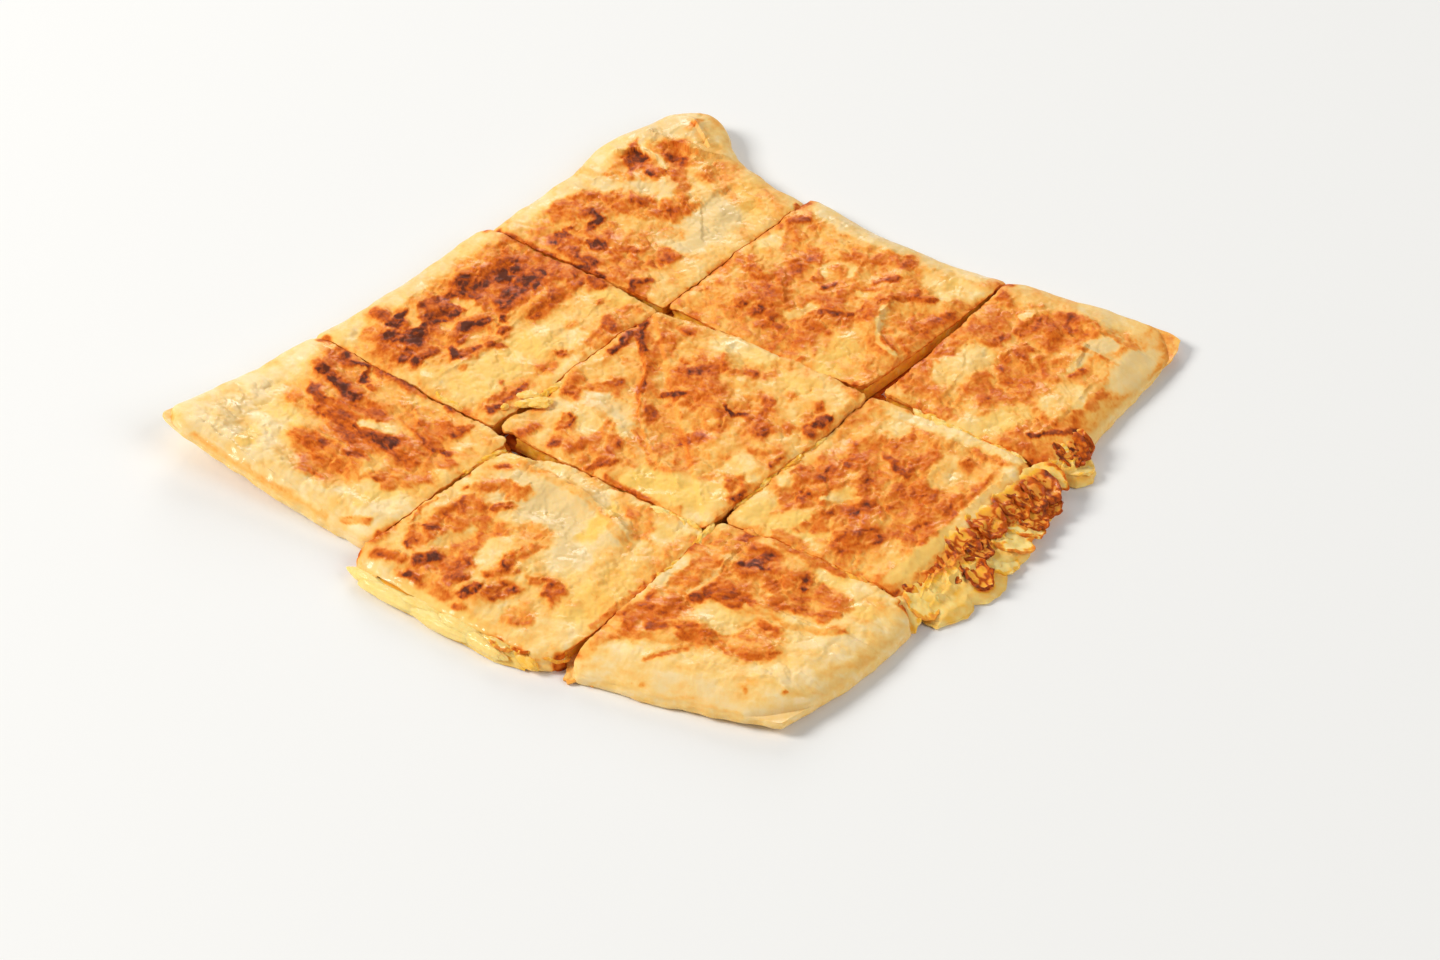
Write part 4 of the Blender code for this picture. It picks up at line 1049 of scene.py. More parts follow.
def browning_at(name, places):
    """Browning of a slice's top, from 0 to 1, at places as the photograph sees them."""
    piece = SLICES[name]
    ragged = 1.2 * sway(places, width=6.0, seeds=(1, 2))
    ragged += 0.6 * sway(places, width=2.4, seeds=(3, 5), octaves=2)
    bent = places + ragged
    drawn = along_grain(piece, bent, piece.streak)
    flecks = rough(drawn, width=2.2, seed=9)
    tone = piece.tone + 0.14 * rough(places, width=9.0, seed=7)
    for level, width, *points in MARKS[name]:
        away = from_path(bent, points) / width
        soft = 0.28 + 0.5 / (1.0 + 0.3 * width)
        cover = smoothstep((1.0 + soft - away) / (2.0 * soft))
        cover = smoothstep(cover + 1.2 * flecks * cover * (1.0 - cover))
        halo = smoothstep((1.9 + soft - away) / (1.0 + soft)) * smoothstep((level - 0.6) / 0.2)
        tone = np.maximum(tone, mix(tone, HALO_TONE, HALO_SHARE * halo))
        tone = mix(tone, level, cover)
    bounded = np.clip(tone, 0.0, 1.0)
    swing = bounded * (1.0 - bounded)
    coarse = (0.05 + 0.56 * swing) * rough(drawn, width=4.2, seed=20, octaves=4)
    tone += coarse + (0.015 + 0.14 * swing) * rough(places, width=1.1, seed=26, octaves=2)
    browned = smoothstep((tone - BROWNED_FROM) / BROWNED_OVER)
    fine = rough(drawn, width=1.9, seed=45)
    tone += browned * (0.08 * smoothstep((fine - 0.1) / 0.3) - 0.1 * smoothstep((-0.2 - fine) / 0.3))
    lace = cell_walls(bent, width=2.7, seed=47) * np.clip(0.4 + ripple(places, width=7.0, seed=49), 0.0, 1.0)
    tone += browned * (LACE_TONE * lace - BLISTER_TONE * blister_walls(places))
    specks = smoothstep((rough(places, width=0.9, seed=38, octaves=2) - 0.62) / 0.12)
    specks *= smoothstep(0.5 + rough(places, width=7.0, seed=39, octaves=2))
    return tone + SPECK_TONE * specks * smoothstep((tone - 0.12) / 0.2) * (1.0 - bounded)


def skin_wrinkles(piece, places):
    """Fine wrinkles of the skin, from 0 in a valley to 1 on a crest."""
    folded = along_grain(piece, places + ripple(places, width=13.0, seed=40)[:, None] * 3.0, 3.2)
    crest = 1.0 - np.abs(ripple(folded, width=2.6, seed=41)) * 2.0
    fine = 1.0 - np.abs(ripple(folded * 1.9, width=2.6, seed=43)) * 2.0
    return np.clip(0.65 * crest + 0.35 * fine, -1.0, 1.0)


def pleats_at(name, places):
    """Height of a slice's pleats, which rise sharply at a line and fall away softly on its left."""
    bent = places + 0.7 * sway(places, width=5.0, seeds=(90, 93), octaves=3)
    height = np.zeros(len(places))
    for rise, reach, *points in PLEATS[name]:
        side, ends = left_side(bent, points)
        slope = rise * np.exp(-np.maximum(side, 0.0) / reach)
        height += slope * smoothstep(side / 0.7 + 0.5) * smoothstep(ends / 4.0)
    return 1.3 * height


def tint_at(name, places):
    """Whether the dough is glassy or yolky, from -1 to 1, at places as the photograph sees them."""
    bent = places + 1.4 * sway(places, width=5.0, seeds=(96, 98), octaves=3)
    tint = 0.3 * rough(places, width=6.0, seed=94)
    for strength, width, *points in TINTS[name]:
        tint = mix(tint, strength, smoothstep(1.6 - from_path(bent, points) / width))
    return tint


def leaf_edges(places):
    """Height, in steps, of the leaves of dough that lie on each other."""
    field = rough(places, width=17.0, seed=60, octaves=4)
    height = np.zeros(len(places))
    for level in LEAF_LEVELS:
        height += smoothstep((field - level) / 0.06 + 0.5)
    return height - len(LEAF_LEVELS) / 2.0


def plan_shift():
    """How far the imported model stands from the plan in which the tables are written."""
    piece = SLICES["centre"]
    edge = np.vstack([edge_line(piece, side, np.linspace(0.0, 1.0, 201)) for side in range(4)])
    box_low, box_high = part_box("centre_bottom_dough")
    middle = (np.array(box_low)[:2] + np.array(box_high)[:2]) / 2.0 / MM
    return np.array((*(middle - (edge.min(axis=0) + edge.max(axis=0)) / 2.0), 0.0))


def to_frame(points):
    """Points of the plan, in millimetres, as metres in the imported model's frame."""
    return (points + plan_shift()) * MM


def from_frame(points):
    """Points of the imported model's frame, in metres, as millimetres of the plan."""
    return points / MM - plan_shift()


def as_seen(points):
    """Places in plan where points seem to lie, taking all that is seen to be as high as the fried top."""
    return points[:, :2] + SIGHT_SLOPE * (points[:, 2:] - TOP)


def lines(length_mm, spacing, low_rim=False, high_rim=False):
    """Places of grid lines across a slice, closer together on a rim's shoulder."""
    turns = [step * math.pi / (2.0 * SHOULDER_LINES) for step in range(SHOULDER_LINES + 1)]
    bend = [SHOULDER_WIDTH * (1.0 - math.cos(turn)) for turn in turns]
    low = bend if low_rim else [0.0]
    high = [length_mm - place for place in reversed(bend)] if high_rim else [length_mm]
    steps = max(round((high[0] - low[-1]) / spacing), 1)
    inner = [mix(low[-1], high[0], step / steps) for step in range(1, steps)]
    return np.array(low + inner + high)


def coordinates(body):
    """A mesh's points as an array."""
    points = np.empty(len(body.data.vertices) * 3, np.float32)
    body.data.vertices.foreach_get("co", points)
    return points.reshape(-1, 3).astype(float)


def set_coordinates(body, points):
    """Move a mesh's points."""
    body.data.vertices.foreach_set("co", points.astype(np.float32).ravel())
    body.data.update()


def added(add, **settings):
    """What one of Blender's add operators makes, with nothing else selected."""
    bpy.ops.object.select_all(action="DESELECT")
    add(**settings)
    return bpy.context.active_object


def face_outwards():
    """Turn all faces outwards, in edit mode."""
    bpy.ops.mesh.select_all(action="SELECT")
    bpy.ops.mesh.normals_make_consistent(inside=False)


def flat_grid(name, xs, ys):
    """A flat grid with a row of points for each place across and up it, not shaped yet."""
    columns = len(xs) - 1
    rows = len(ys) - 1
    body = added(bpy.ops.mesh.primitive_grid_add, x_subdivisions=columns, y_subdivisions=rows, size=1.0)
    body.name = name
    body.data.name = name
    return body


def shape_body(body, xs, ys, place):
    """Put the points of a body that isn't shaped yet where place(x, y, level) says."""
    points = coordinates(body)
    columns = np.rint((points[:, 0] + 0.5) * (len(xs) - 1)).astype(int)
    rows = np.rint((points[:, 1] + 0.5) * (len(ys) - 1)).astype(int)
    levels = np.rint(-points[:, 2]).astype(int)
    set_coordinates(body, to_frame(place(xs[columns], ys[rows], levels)))


def closed_body(name, xs, ys, levels, place):
    """A grid whose outline is extruded down by some levels and closed, with its points put into place."""
    body = flat_grid(name, xs, ys)
    bpy.ops.object.mode_set(mode="EDIT")
    bpy.ops.mesh.select_mode(type="EDGE")
    bpy.ops.mesh.select_all(action="SELECT")
    bpy.ops.mesh.region_to_loop()
    for _ in range(levels):
        bpy.ops.mesh.extrude_edges_move(TRANSFORM_OT_translate={"value": (0.0, 0.0, -1.0)})
    bpy.ops.mesh.edge_face_add()
    face_outwards()
    bpy.ops.object.mode_set(mode="OBJECT")
    shape_body(body, xs, ys, place)
    return body


def fray(piece, x, y, width, depth, sizes):
    """How far the outline strays sideways near each side; both slices at a cut stray the same way."""
    distances = side_distances(x, y, width, depth)
    fl, fr, br, bl = (np.array(corner) for corner in piece.corners)
    runs = {FRONT: (fr - fl, x), RIGHT: (br - fr, y), BACK: (bl - br, x), LEFT: (fl - bl, y)}
    first_seed = int(abs(fl.sum())) + 100
    middle = (fl + fr + br + bl) / 4.0
    nominal = plan(piece, x / width, y / depth)
    move = np.zeros((len(x), 2))
    for side, (run, along) in runs.items():
        run = run / np.linalg.norm(run)
        outward = np.array((run[1], -run[0]))
        if side in piece.rim:
            spot = np.column_stack((along, np.full(len(x), 31.0 * side)))
            stray = 0.6 * ripple(spot, width=14.0, seed=first_seed)
            stray += 0.35 * ripple(spot, width=4.5, seed=first_seed + 1)
            stray = sizes.rim_fray / MM * stray + piece.grow[side]
        else:
            across = side in (FRONT, BACK)
            ahead = 1.0 if side in (RIGHT, BACK) else -1.0
            line = round((middle[1 if across else 0] + ahead * HALF_SLICE) / CUT_GRID)
            layer = np.full(len(x), 40.0 * line + 500.0 * across)
            spot = np.column_stack((nominal[:, 0 if across else 1], layer))
            stray = 0.6 * ripple(spot, width=16.0, seed=104)
            stray += 0.7 * ripple(spot, width=7.0, seed=102)
            stray += 0.4 * ripple(spot, width=2.0, seed=103)
            stray *= sizes.cut_fray / MM * ahead
            stray += spread_at(piece, side, along / (width if across else depth), sizes)
        move += outward * (stray * np.exp(-distances[side] / STRAY_REACH))[:, None]
    return move


class Outline:
    """The outline of a slice in plan, and how far each of its points is from each side."""

    def __init__(self, piece, sizes):
        self.piece = piece
        self.sizes = sizes
        self.width, self.depth = spans(piece)

    def place(self, x, y, inset=0.0):
        """Places of grid points, drawn in by an inset at each side."""
        piece = self.piece
        new_x, new_y = soften(x, y, self.width, self.depth, piece.round_corners)
        new_x = mix(inset, self.width - inset, new_x / self.width)
        new_y = mix(inset, self.depth - inset, new_y / self.depth)
        stray = fray(piece, x, y, self.width, self.depth, self.sizes)
        spot = plan(piece, new_x / self.width, new_y / self.depth) + stray
        for push_x, push_y, reach, right, back in piece.pushes:
            away = np.linalg.norm(spot - (push_x, push_y), axis=1)
            spot = spot + np.exp(-(away / reach) ** 2)[:, None] * np.array((right, back))
        return spot

    def rimward(self, x, y):
        """1 at a rim, 0 at a cut."""
        distances = side_distances(x, y, self.width, self.depth)
        share = np.zeros(len(x))
        for side in self.piece.rim:
            share = np.maximum(share, smoothstep(1.0 - distances[side] / 2.0))
        return share

    def cutward(self, x, y):
        """Distances to the nearest cut."""
        distances = side_distances(x, y, self.width, self.depth)
        nearest = np.full(len(x), 99.0)
        for side in set(range(4)) - set(self.piece.rim):
            nearest = np.minimum(nearest, distances[side])
        return nearest


def fried_height(name, places, cutward, drop, sizes):
    """Height of the fried skin over the ground, without the lift of a curled corner."""
    piece = SLICES[name]
    height = TOP + puff_at(places) + relief_at(piece, places) - drop
    tone = np.clip(browning_at(name, places), 0.0, 1.0)
    flat = np.exp(-np.asarray(drop) / 1.5)
    fine = sizes.wrinkle_height / MM * skin_wrinkles(piece, places) * (0.9 - 0.4 * tone)
    fine += sizes.layer_step / MM * leaf_edges(places) + pleats_at(name, places)
    fine += sizes.blister_height / MM * smoothstep((tone - 0.3) / 0.5)
    waves = 0.5 * ripple(places, width=7.5, seed=82) + 0.17 * ripple(places, width=3.4, seed=84)
    fine += waves - 0.4 * blister_walls(places)
    fine += (0.01 + 0.07 * tone) * ripple(places, width=1.2, seed=80)
    height += fine * flat
    height *= thickness_at(piece, places)
    return height - sizes.cut_droop / MM * np.exp(-(cutward / 0.7) ** 1.3)


def torn_at(spot, height):
    """How far the leaves of dough stand out at a cut."""
    return 0.25 * rough(np.column_stack((spot, height * 1.5)), width=2.2, seed=95, octaves=2)


def draw_in(spot, level, walls, rings, centre):
    """Draw the rows of points past the walls in towards a centre, which closes the underside."""
    for ring, inner in enumerate(rings):
        inside = level == walls + 1 + ring
        spot[inside] = mix(centre, spot[inside], inner)


def make_dough(name, sizes):
    """Outer form of a slice of dough, with its fine skin."""
    piece = SLICES[name]
    outline = Outline(piece, sizes)
    spacing = sizes.skin_spacing / MM
    xs = lines(outline.width, spacing, LEFT in piece.rim, RIGHT in piece.rim)
    ys = lines(outline.depth, spacing, FRONT in piece.rim, BACK in piece.rim)
    walls = sizes.wall_levels
    rings = (0.97, 0.86, 0.62, 0.3)

    def place(x, y, level):
        spot = outline.place(x, y)
        distances = side_distances(x, y, outline.width, outline.depth)
        drop = shoulder_drop(piece, distances)
        lift = lift_at(piece, spot)
        top = np.zeros(len(x))
        upper = level <= walls
        top[upper] = fried_height(name, spot[upper], outline.cutward(x, y)[upper],
                                  drop[upper] if piece.rim else 0.0, sizes)
        share = np.clip(level / walls, 0.0, 1.0)
        height = mix(top, 0.0, share)
        outward = spot - outline.place(x, y, inset=1.0)
        rimward = outline.rimward(x, y)
        tuck = np.clip((FOOT_HEIGHT - height) / FOOT_HEIGHT, 0.0, 1.0)
        tuck = FOOT_INSET * (1.0 - np.sqrt(1.0 - tuck * tuck))
        tall = np.column_stack((spot, height * 2.0))
        belly = 0.35 * np.sin(math.pi * share) + 0.3 * ripple(tall, width=4.0, seed=90)
        side = mix(torn_at(spot, height), belly - tuck, rimward)
        side = np.where((level > 0) & (level <= walls), side, 0.0)
        side = np.where(level > walls, -FOOT_INSET * rimward, side)
        spot = spot + outward * side[:, None]
        draw_in(spot, level, walls, rings, middle_of(piece))
        lifted = lift_at(piece, spot)
        height = np.where(level > walls, 0.0, height)
        raised = mix(TOP_FOLLOWS * lift, lifted, share)
        return np.column_stack((spot, height + np.where(level > walls, lifted, raised)))

    return closed_body(f"{name}_crust", xs, ys, walls + len(rings), place)


def slab_cutter(name, xs, ys, place):
    """A coarse closed slab between two shaped grids."""
    body = flat_grid(name, xs, ys)
    bpy.ops.object.mode_set(mode="EDIT")
    bpy.ops.mesh.select_all(action="SELECT")
    bpy.ops.mesh.extrude_region_move(TRANSFORM_OT_translate={"value": (0.0, 0.0, -1.0)})
    face_outwards()
    bpy.ops.object.mode_set(mode="OBJECT")
    shape_body(body, xs, ys, place)
    bpy.ops.object.mode_set(mode="EDIT")
    face_outwards()
    bpy.ops.object.mode_set(mode="OBJECT")
    return body


def make_pocket(name, piece):
    """Cutter for the room that the egg takes inside a slice."""
    width, depth = spans(piece)
    inset = {side: RIM_WALL if side in piece.rim else -CUT_OVERSHOOT for side in range(4)}
    inner_width = width - inset[LEFT] - inset[RIGHT]
    inner_depth = depth - inset[FRONT] - inset[BACK]
    pairs = ((FRONT, LEFT), (FRONT, RIGHT), (BACK, RIGHT), (BACK, LEFT))
    radii = [max(radius - RIM_WALL, 0.0) if set(pair) <= set(piece.rim) else 0.0
             for radius, pair in zip(piece.round_corners, pairs)]
    xs = np.array([inset[LEFT], *lines(width, POCKET_SPACING)[1:-1], width - inset[RIGHT]])
    ys = np.array([inset[FRONT], *lines(depth, POCKET_SPACING)[1:-1], depth - inset[BACK]])

    def place(x, y, level):
        x, y = soften(x - inset[LEFT], y - inset[FRONT], inner_width, inner_depth, radii)
        spot = plan(piece, (x + inset[LEFT]) / width, (y + inset[FRONT]) / depth)
        lift = lift_at(piece, spot)
        height = np.where(level == 0, room_at(piece, spot) + TOP_FOLLOWS * lift, UNDER_DOUGH + lift)
        return np.column_stack((spot, height))

    return slab_cutter(f"{name}_pocket", xs, ys, place)


def beside(piece, side, along, inward):
    """Places a distance along a side from its start and a distance inward from it."""
    width, depth = spans(piece)
    if side == FRONT:
        return plan(piece, along / width, inward / depth)
    return plan(piece, inward / width, 1.0 - along / depth)


def make_mouth(name, piece):
    """Cutter that opens the rim where the egg ran out."""
    ooze = piece.ooze
    steps = round((ooze.end - ooze.start) / MOUTH_SPACING)
    along = [mix(ooze.start, ooze.end, step / steps) for step in range(steps + 1)]
    across = np.array([ooze.start - MOUTH_SIDE, *along, ooze.end + MOUTH_SIDE])
    depths = np.array((-CUT_OVERSHOOT, MOUTH_DEPTH))

    def place(x, y, level):
        height = np.where(level == 0, MOUTH_TOP, MOUTH_FLOOR)
        return np.column_stack((beside(piece, ooze.side, x, y), height))

    return slab_cutter(f"{name}_mouth", across, depths, place)


def cut_away(body, cutter):
    """Take one closed body out of another and remove the cutter."""
    modifier = body.modifiers.new("Room", "BOOLEAN")
    modifier.operation = "DIFFERENCE"
    modifier.solver = "MANIFOLD"
    modifier.object = cutter
    before = len(body.data.vertices)
    bpy.context.view_layer.objects.active = body
    bpy.ops.object.modifier_apply(modifier=modifier.name)
    if len(body.data.vertices) == before:
        raise RuntimeError(f"{cutter.name} cut nothing out of {body.name}")
    bpy.data.objects.remove(cutter, do_unlink=True)


def shade_smooth(body, angle=SKIN_CREASE):
    """Shade a piece smooth except at its creases."""
    bpy.ops.object.select_all(action="DESELECT")
    body.select_set(True)
    bpy.context.view_layer.objects.active = body
    bpy.ops.object.shade_smooth_by_angle(angle=math.radians(angle))


def set_value(body, name, values):
    """Store one number for each point of a mesh."""
    layer = body.data.attributes.new(name, "FLOAT", "POINT")
    layer.data.foreach_set("value", np.asarray(values, np.float32))


def inward(piece, places, side):
    """Rough distances of places inward from a side of a slice."""
    corners = [np.array(corner, float) for corner in piece.corners]
    start = corners[side]
    end = corners[(side + 1) % 4]
    run = (end - start) / np.linalg.norm(end - start)
    along = (places - start) @ run / np.linalg.norm(end - start)
    away = run[0] * (places - start)[:, 1] - run[1] * (places - start)[:, 0]
    return away + piece.bulges[side] * 4.0 * along * (1.0 - along)


def paint_dough(body, name):
    """Store how brown a slice is at each point, with painted shade on the faces of its cuts."""
    piece = SLICES[name]
    points = from_frame(coordinates(body))
    spots = points[:, :2]
    seen = as_seen(points)
    tone = browning_at(name, seen)
    surface = (TOP + puff_at(spots)) * thickness_at(piece, spots) + TOP_FOLLOWS * lift_at(piece, spots)
    below = surface - points[:, 2]
    cut = np.zeros(len(points))
    rim = np.zeros(len(points))
    for side in range(4):
        near = smoothstep(1.6 - inward(piece, spots, side) / 1.2)
        if side in piece.rim:
            rim = np.maximum(rim, near)
        else:
            cut = np.maximum(cut, near)
    grain = rough(points, width=2.0, seed=44)
    # Painted shade: a cut's faces turn dark red-brown and lose their tint deeper below the top, where the cut
    # lies in shadow
    tone = mix(tone, CUT_SHADE_TONE + 0.2 * grain, cut * (1.0 - rim) * smoothstep((below - 0.5) / 0.8))
    tone = mix(tone, np.minimum(tone, RIM_TONE + 0.1 * grain), rim * smoothstep((below - 2.6) / 1.5))
    set_value(body, "browning", tone)
    set_value(body, "tint", tint_at(name, seen) * (1.0 - cut * smoothstep(below - 0.7)))


def finish_piece(body, material, slot, *nodes):
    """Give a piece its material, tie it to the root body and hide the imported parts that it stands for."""
    body.data.materials.clear()
    body.data.materials.append(material)
    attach(body, "root")
    if nodes:
        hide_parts(*nodes)


def make_egg(name, sizes):
    """Egg that runs through a slice."""
    piece = SLICES[name]
    width, depth = spans(piece)
    inset = {side: RIM_WALL + GAP if side in piece.rim else CUT_RECESS for side in range(4)}
    spacing = sizes.egg_spacing / MM
    columns = round((width - inset[LEFT] - inset[RIGHT]) / spacing)
    rows = round((depth - inset[FRONT] - inset[BACK]) / spacing)
    xs = np.linspace(inset[LEFT], width - inset[RIGHT], columns + 1)
    ys = np.linspace(inset[FRONT], depth - inset[BACK], rows + 1)
    lump = sizes.egg_lump / MM

    def place(x, y, level):
        spot = plan(piece, x / width, y / depth)
        lift = lift_at(piece, spot)
        top = room_at(piece, spot) - GAP + TOP_FOLLOWS * lift
        share = np.clip(level / EGG_WALLS, 0.0, 1.0)
        height = mix(top, UNDER_DOUGH + GAP + lift, share)
        inner = plan(piece, mix(0.02, 0.98, x / width), mix(0.02, 0.98, y / depth))
        outward = spot - inner
        outward /= np.maximum(np.linalg.norm(outward, axis=1), 1e-6)[:, None]
        curds = rough(np.column_stack((spot, height)), width=2.4, seed=30)
        side = lump * curds * np.sin(math.pi * np.clip(share, 0.04, 0.96))
        side = np.where((level > 0) & (level < EGG_WALLS), side, 0.0)
        spot = spot + outward * side[:, None]
        draw_in(spot, level, EGG_WALLS, EGG_RINGS, middle_of(piece))
        under = level > EGG_WALLS
        height[under] = UNDER_DOUGH + GAP + lift_at(piece, spot[under])
        return np.column_stack((spot, height))

    body = closed_body(f"{name}_egg", xs, ys, EGG_WALLS + len(EGG_RINGS), place)
    points = from_frame(coordinates(body))
    set_value(body, "browning", EGG_TONE + 0.24 * rough(points, width=4.0, seed=33))
    return body


def curd_walls(places):
    """1 on the ridges between the curds of egg outside a rim, and 0 inside a curd."""
    return cell_walls(places + 0.8 * sway(places, width=3.0, seeds=(51, 52)), width=CURD_WIDTH, seed=53)


def make_apron(name):
    """Egg that lies outside the rim, crumpled and browned."""
    piece = SLICES[name]
    ooze = piece.ooze
    middle = (ooze.start + ooze.end) / 2.0
    half = (ooze.end - ooze.start) / 2.0 - MOUTH_SIDE
    xs = np.linspace(-1.0, 1.0, round(2.0 * (half + ooze.spread) / APRON_SPACING) + 1)
    far = max(ooze.reach)
    outside_rows = np.linspace(0.0, 1.0, round(far / APRON_SPACING) + 1)
    ys = np.concatenate((np.linspace(-7.0, 0.0, 10)[:-1] / far, outside_rows))

    def edge(x, y):
        reach = np.interp(x, np.linspace(-1.0, 1.0, len(ooze.reach)), ooze.reach)
        lobe = np.abs(np.sin((x + 1.0) * (half + ooze.spread) * math.pi / LOBE_WIDTH + 0.6))
        reach = reach * (1.0 - 0.14 * (1.0 - lobe) ** 2)
        out = np.where(y > 0.0, y * reach, y * far)
        wide = half + ooze.spread * smoothstep(out / 4.0)
        return beside(piece, ooze.side, middle + wide * x, -out), out

    def place(x, y, level):
        spot, out = edge(x, y)
        crumple = rough(spot, width=5.0, seed=50)
        outside = smoothstep((out - 0.2) / 1.5)
        near_edge = np.minimum(1.0 - y, 1.0 - np.abs(x)) * far
        rounded = np.sqrt(np.clip(near_edge / 2.5, 0.0, 1.0))
        sloped = mix(ooze.height, APRON_EDGE, smoothstep(out / far))
        inner = 1.0 - smoothstep((y - 0.45) / 0.3)
        fine = (0.7 * crumple + 0.8 * curd_walls(spot)) * inner
        fine += 0.12 * rough(spot, width=1.4, seed=57, octaves=2)
        fine = ooze.crumple * fine + 0.5 * ripple(spot, width=6.0, seed=56)
        low_inside, top_inside = APRON_INSIDE
        top = mix(top_inside, 1.0 + (sloped - 1.0) * rounded + fine * outside * rounded, outside)
        top = np.where(out > 0.0, top, top_inside)
        low = np.where(out > 0.0, mix(low_inside, APRON_FOOT, smoothstep(out / 2.0)), low_inside)
        share = np.clip(level / APRON_WALLS, 0.0, 1.0)
        height = np.where(level <= APRON_WALLS, mix(np.maximum(top, low + 0.3), low, share), low)
        pushed = 1.0 + 0.03 * np.sin(math.pi * share) * (level <= APRON_WALLS)
        spot = edge(x * pushed, np.where(y > 0.0, y * pushed, y))[0]
        spot = spot + 0.5 * ooze.crumple * outside[:, None] * sway(spot, width=2.7, seeds=(58, 59))
        draw_in(spot, level, APRON_WALLS, APRON_RINGS, edge(np.zeros(1), np.full(1, 0.4))[0])
        return np.column_stack((spot, height))

    body = closed_body(f"{name}_apron", xs, ys, APRON_WALLS + len(APRON_RINGS), place)
    points = from_frame(coordinates(body))
    seen = as_seen(points)
    crest = smoothstep(curd_walls(points[:, :2]) + 0.9 * rough(seen, width=2.0, seed=63))
    bent = seen + 0.9 * sway(seen, width=3.0, seeds=(61, 62))
    tone = 0.14 + 0.16 * rough(seen, width=4.0, seed=60, octaves=2)
    for level, width, *line in EGG_MARKS[name]:
        cover = smoothstep(1.5 - from_path(bent, line) / width)
        tone = mix(tone, mix(0.3 + 0.25 * level, level + 0.1, crest), cover)
    set_value(body, "browning", tone)
    return body


def make_petal(petal, seed):
    """A curled sheet of egg or dough with a browned edge."""
    root, tip, width, curl, rim_tone, middle_tone = petal
    columns, rows = PETAL_GRID
    body = added(bpy.ops.mesh.primitive_grid_add, x_subdivisions=columns, y_subdivisions=rows, size=2.0)
    points = coordinates(body)
    u, v = soften(points[:, 0] + 1.0, points[:, 1] + 1.0, 2.0, 2.0, (PETAL_ROUND,) * 4)
    u -= 1.0
    v -= 1.0
    raw = np.column_stack((u * 3.0 + seed * 7.0, v * 3.0))
    size = width / 8.0
    edge = np.clip(np.hypot(u, v), 0.0, 1.0)
    run = np.subtract(tip, root)[:2]
    reach = np.linalg.norm(run)
    ahead = run / reach
    aside = np.array((-ahead[1], ahead[0]))
    share = (u + 1.0) / 2.0
    along = share * reach * (1.0 + 0.1 * ripple(raw, width=1.6, seed=seed) * edge)
    across = v * width / 2.0 * (1.0 + 0.12 * ripple(raw, width=1.3, seed=seed + 1) * edge)
    spot = root[:2] + along[:, None] * ahead + across[:, None] * aside
    height = mix(root[2], tip[2], share) + 0.5 * np.sin(math.pi * share)
    raised = curl * (np.abs(v) ** 2.2 + 0.7 * np.clip(u, 0.0, 1.0) ** 3)
    height += raised * (0.65 + 0.8 * ripple(raw, width=1.7, seed=seed + 2))
    coarse = 0.5 * ripple(raw, width=1.6, seed=seed + 3)
    height += size * (coarse + 0.1 * size * ripple(raw, width=0.8, seed=seed + 4))
    set_coordinates(body, to_frame(np.column_stack((spot, np.maximum(height, PETAL_LOWEST)))))
    flecks = rough(raw, width=1.1, seed=seed + 5)
    veins = cell_walls(raw + 0.6 * sway(raw, width=1.0, seeds=(seed, seed + 6)), width=2.3, seed=seed + 7)
    burnt = smoothstep((edge - 0.74 + 0.3 * flecks) / 0.2)
    tone = mix(middle_tone, rim_tone, np.maximum(burnt, veins * smoothstep((middle_tone - 0.15) / 0.3)))
    tone = mix(0.14, tone + 0.08 * flecks, smoothstep((share - 0.08) / 0.25))
    set_value(body, "browning", np.minimum(tone, 0.93 + 0.1 * flecks))
    modifier = body.modifiers.new("Thickness", "SOLIDIFY")
    modifier.thickness = PETAL_THICKNESS * MM
    modifier.offset = -1.0
    bpy.ops.object.modifier_apply(modifier=modifier.name)
    return body


def make_petals(name, first_seed):
    """The curled sheets at a slice, each with noise of its own."""
    return [make_petal(petal, first_seed + 10 * number) for number, petal in enumerate(PETALS[name])]


def make_lump(place, halves, turn, seed, level, unevenness=0.3, detail=5):
    """A lumpy curd of egg."""
    body = added(bpy.ops.mesh.primitive_ico_sphere_add, subdivisions=detail, radius=1.0)
    points = coordinates(body)
    points *= (1.0 + unevenness * rough(points + seed, width=0.8, seed=seed, octaves=4))[:, None]
    points *= halves
    angle = math.radians(turn)
    along = np.array((math.cos(angle), math.sin(angle), 0.0))
    aside = np.array((-math.sin(angle), math.cos(angle), 0.0))
    points = points[:, :1] * along + points[:, 1:2] * aside + points[:, 2:] * (0.0, 0.0, 1.0)
    points += place
    set_coordinates(body, to_frame(points))
    set_value(body, "browning", level + 0.5 * unevenness * rough(points, width=1.6, seed=seed))
    return body


def join(first, others):
    """Join pieces into the first one."""
    bpy.ops.object.select_all(action="DESELECT")
    for other in others:
        other.select_set(True)
    first.select_set(True)
    bpy.context.view_layer.objects.active = first
    bpy.ops.object.join()
    return first


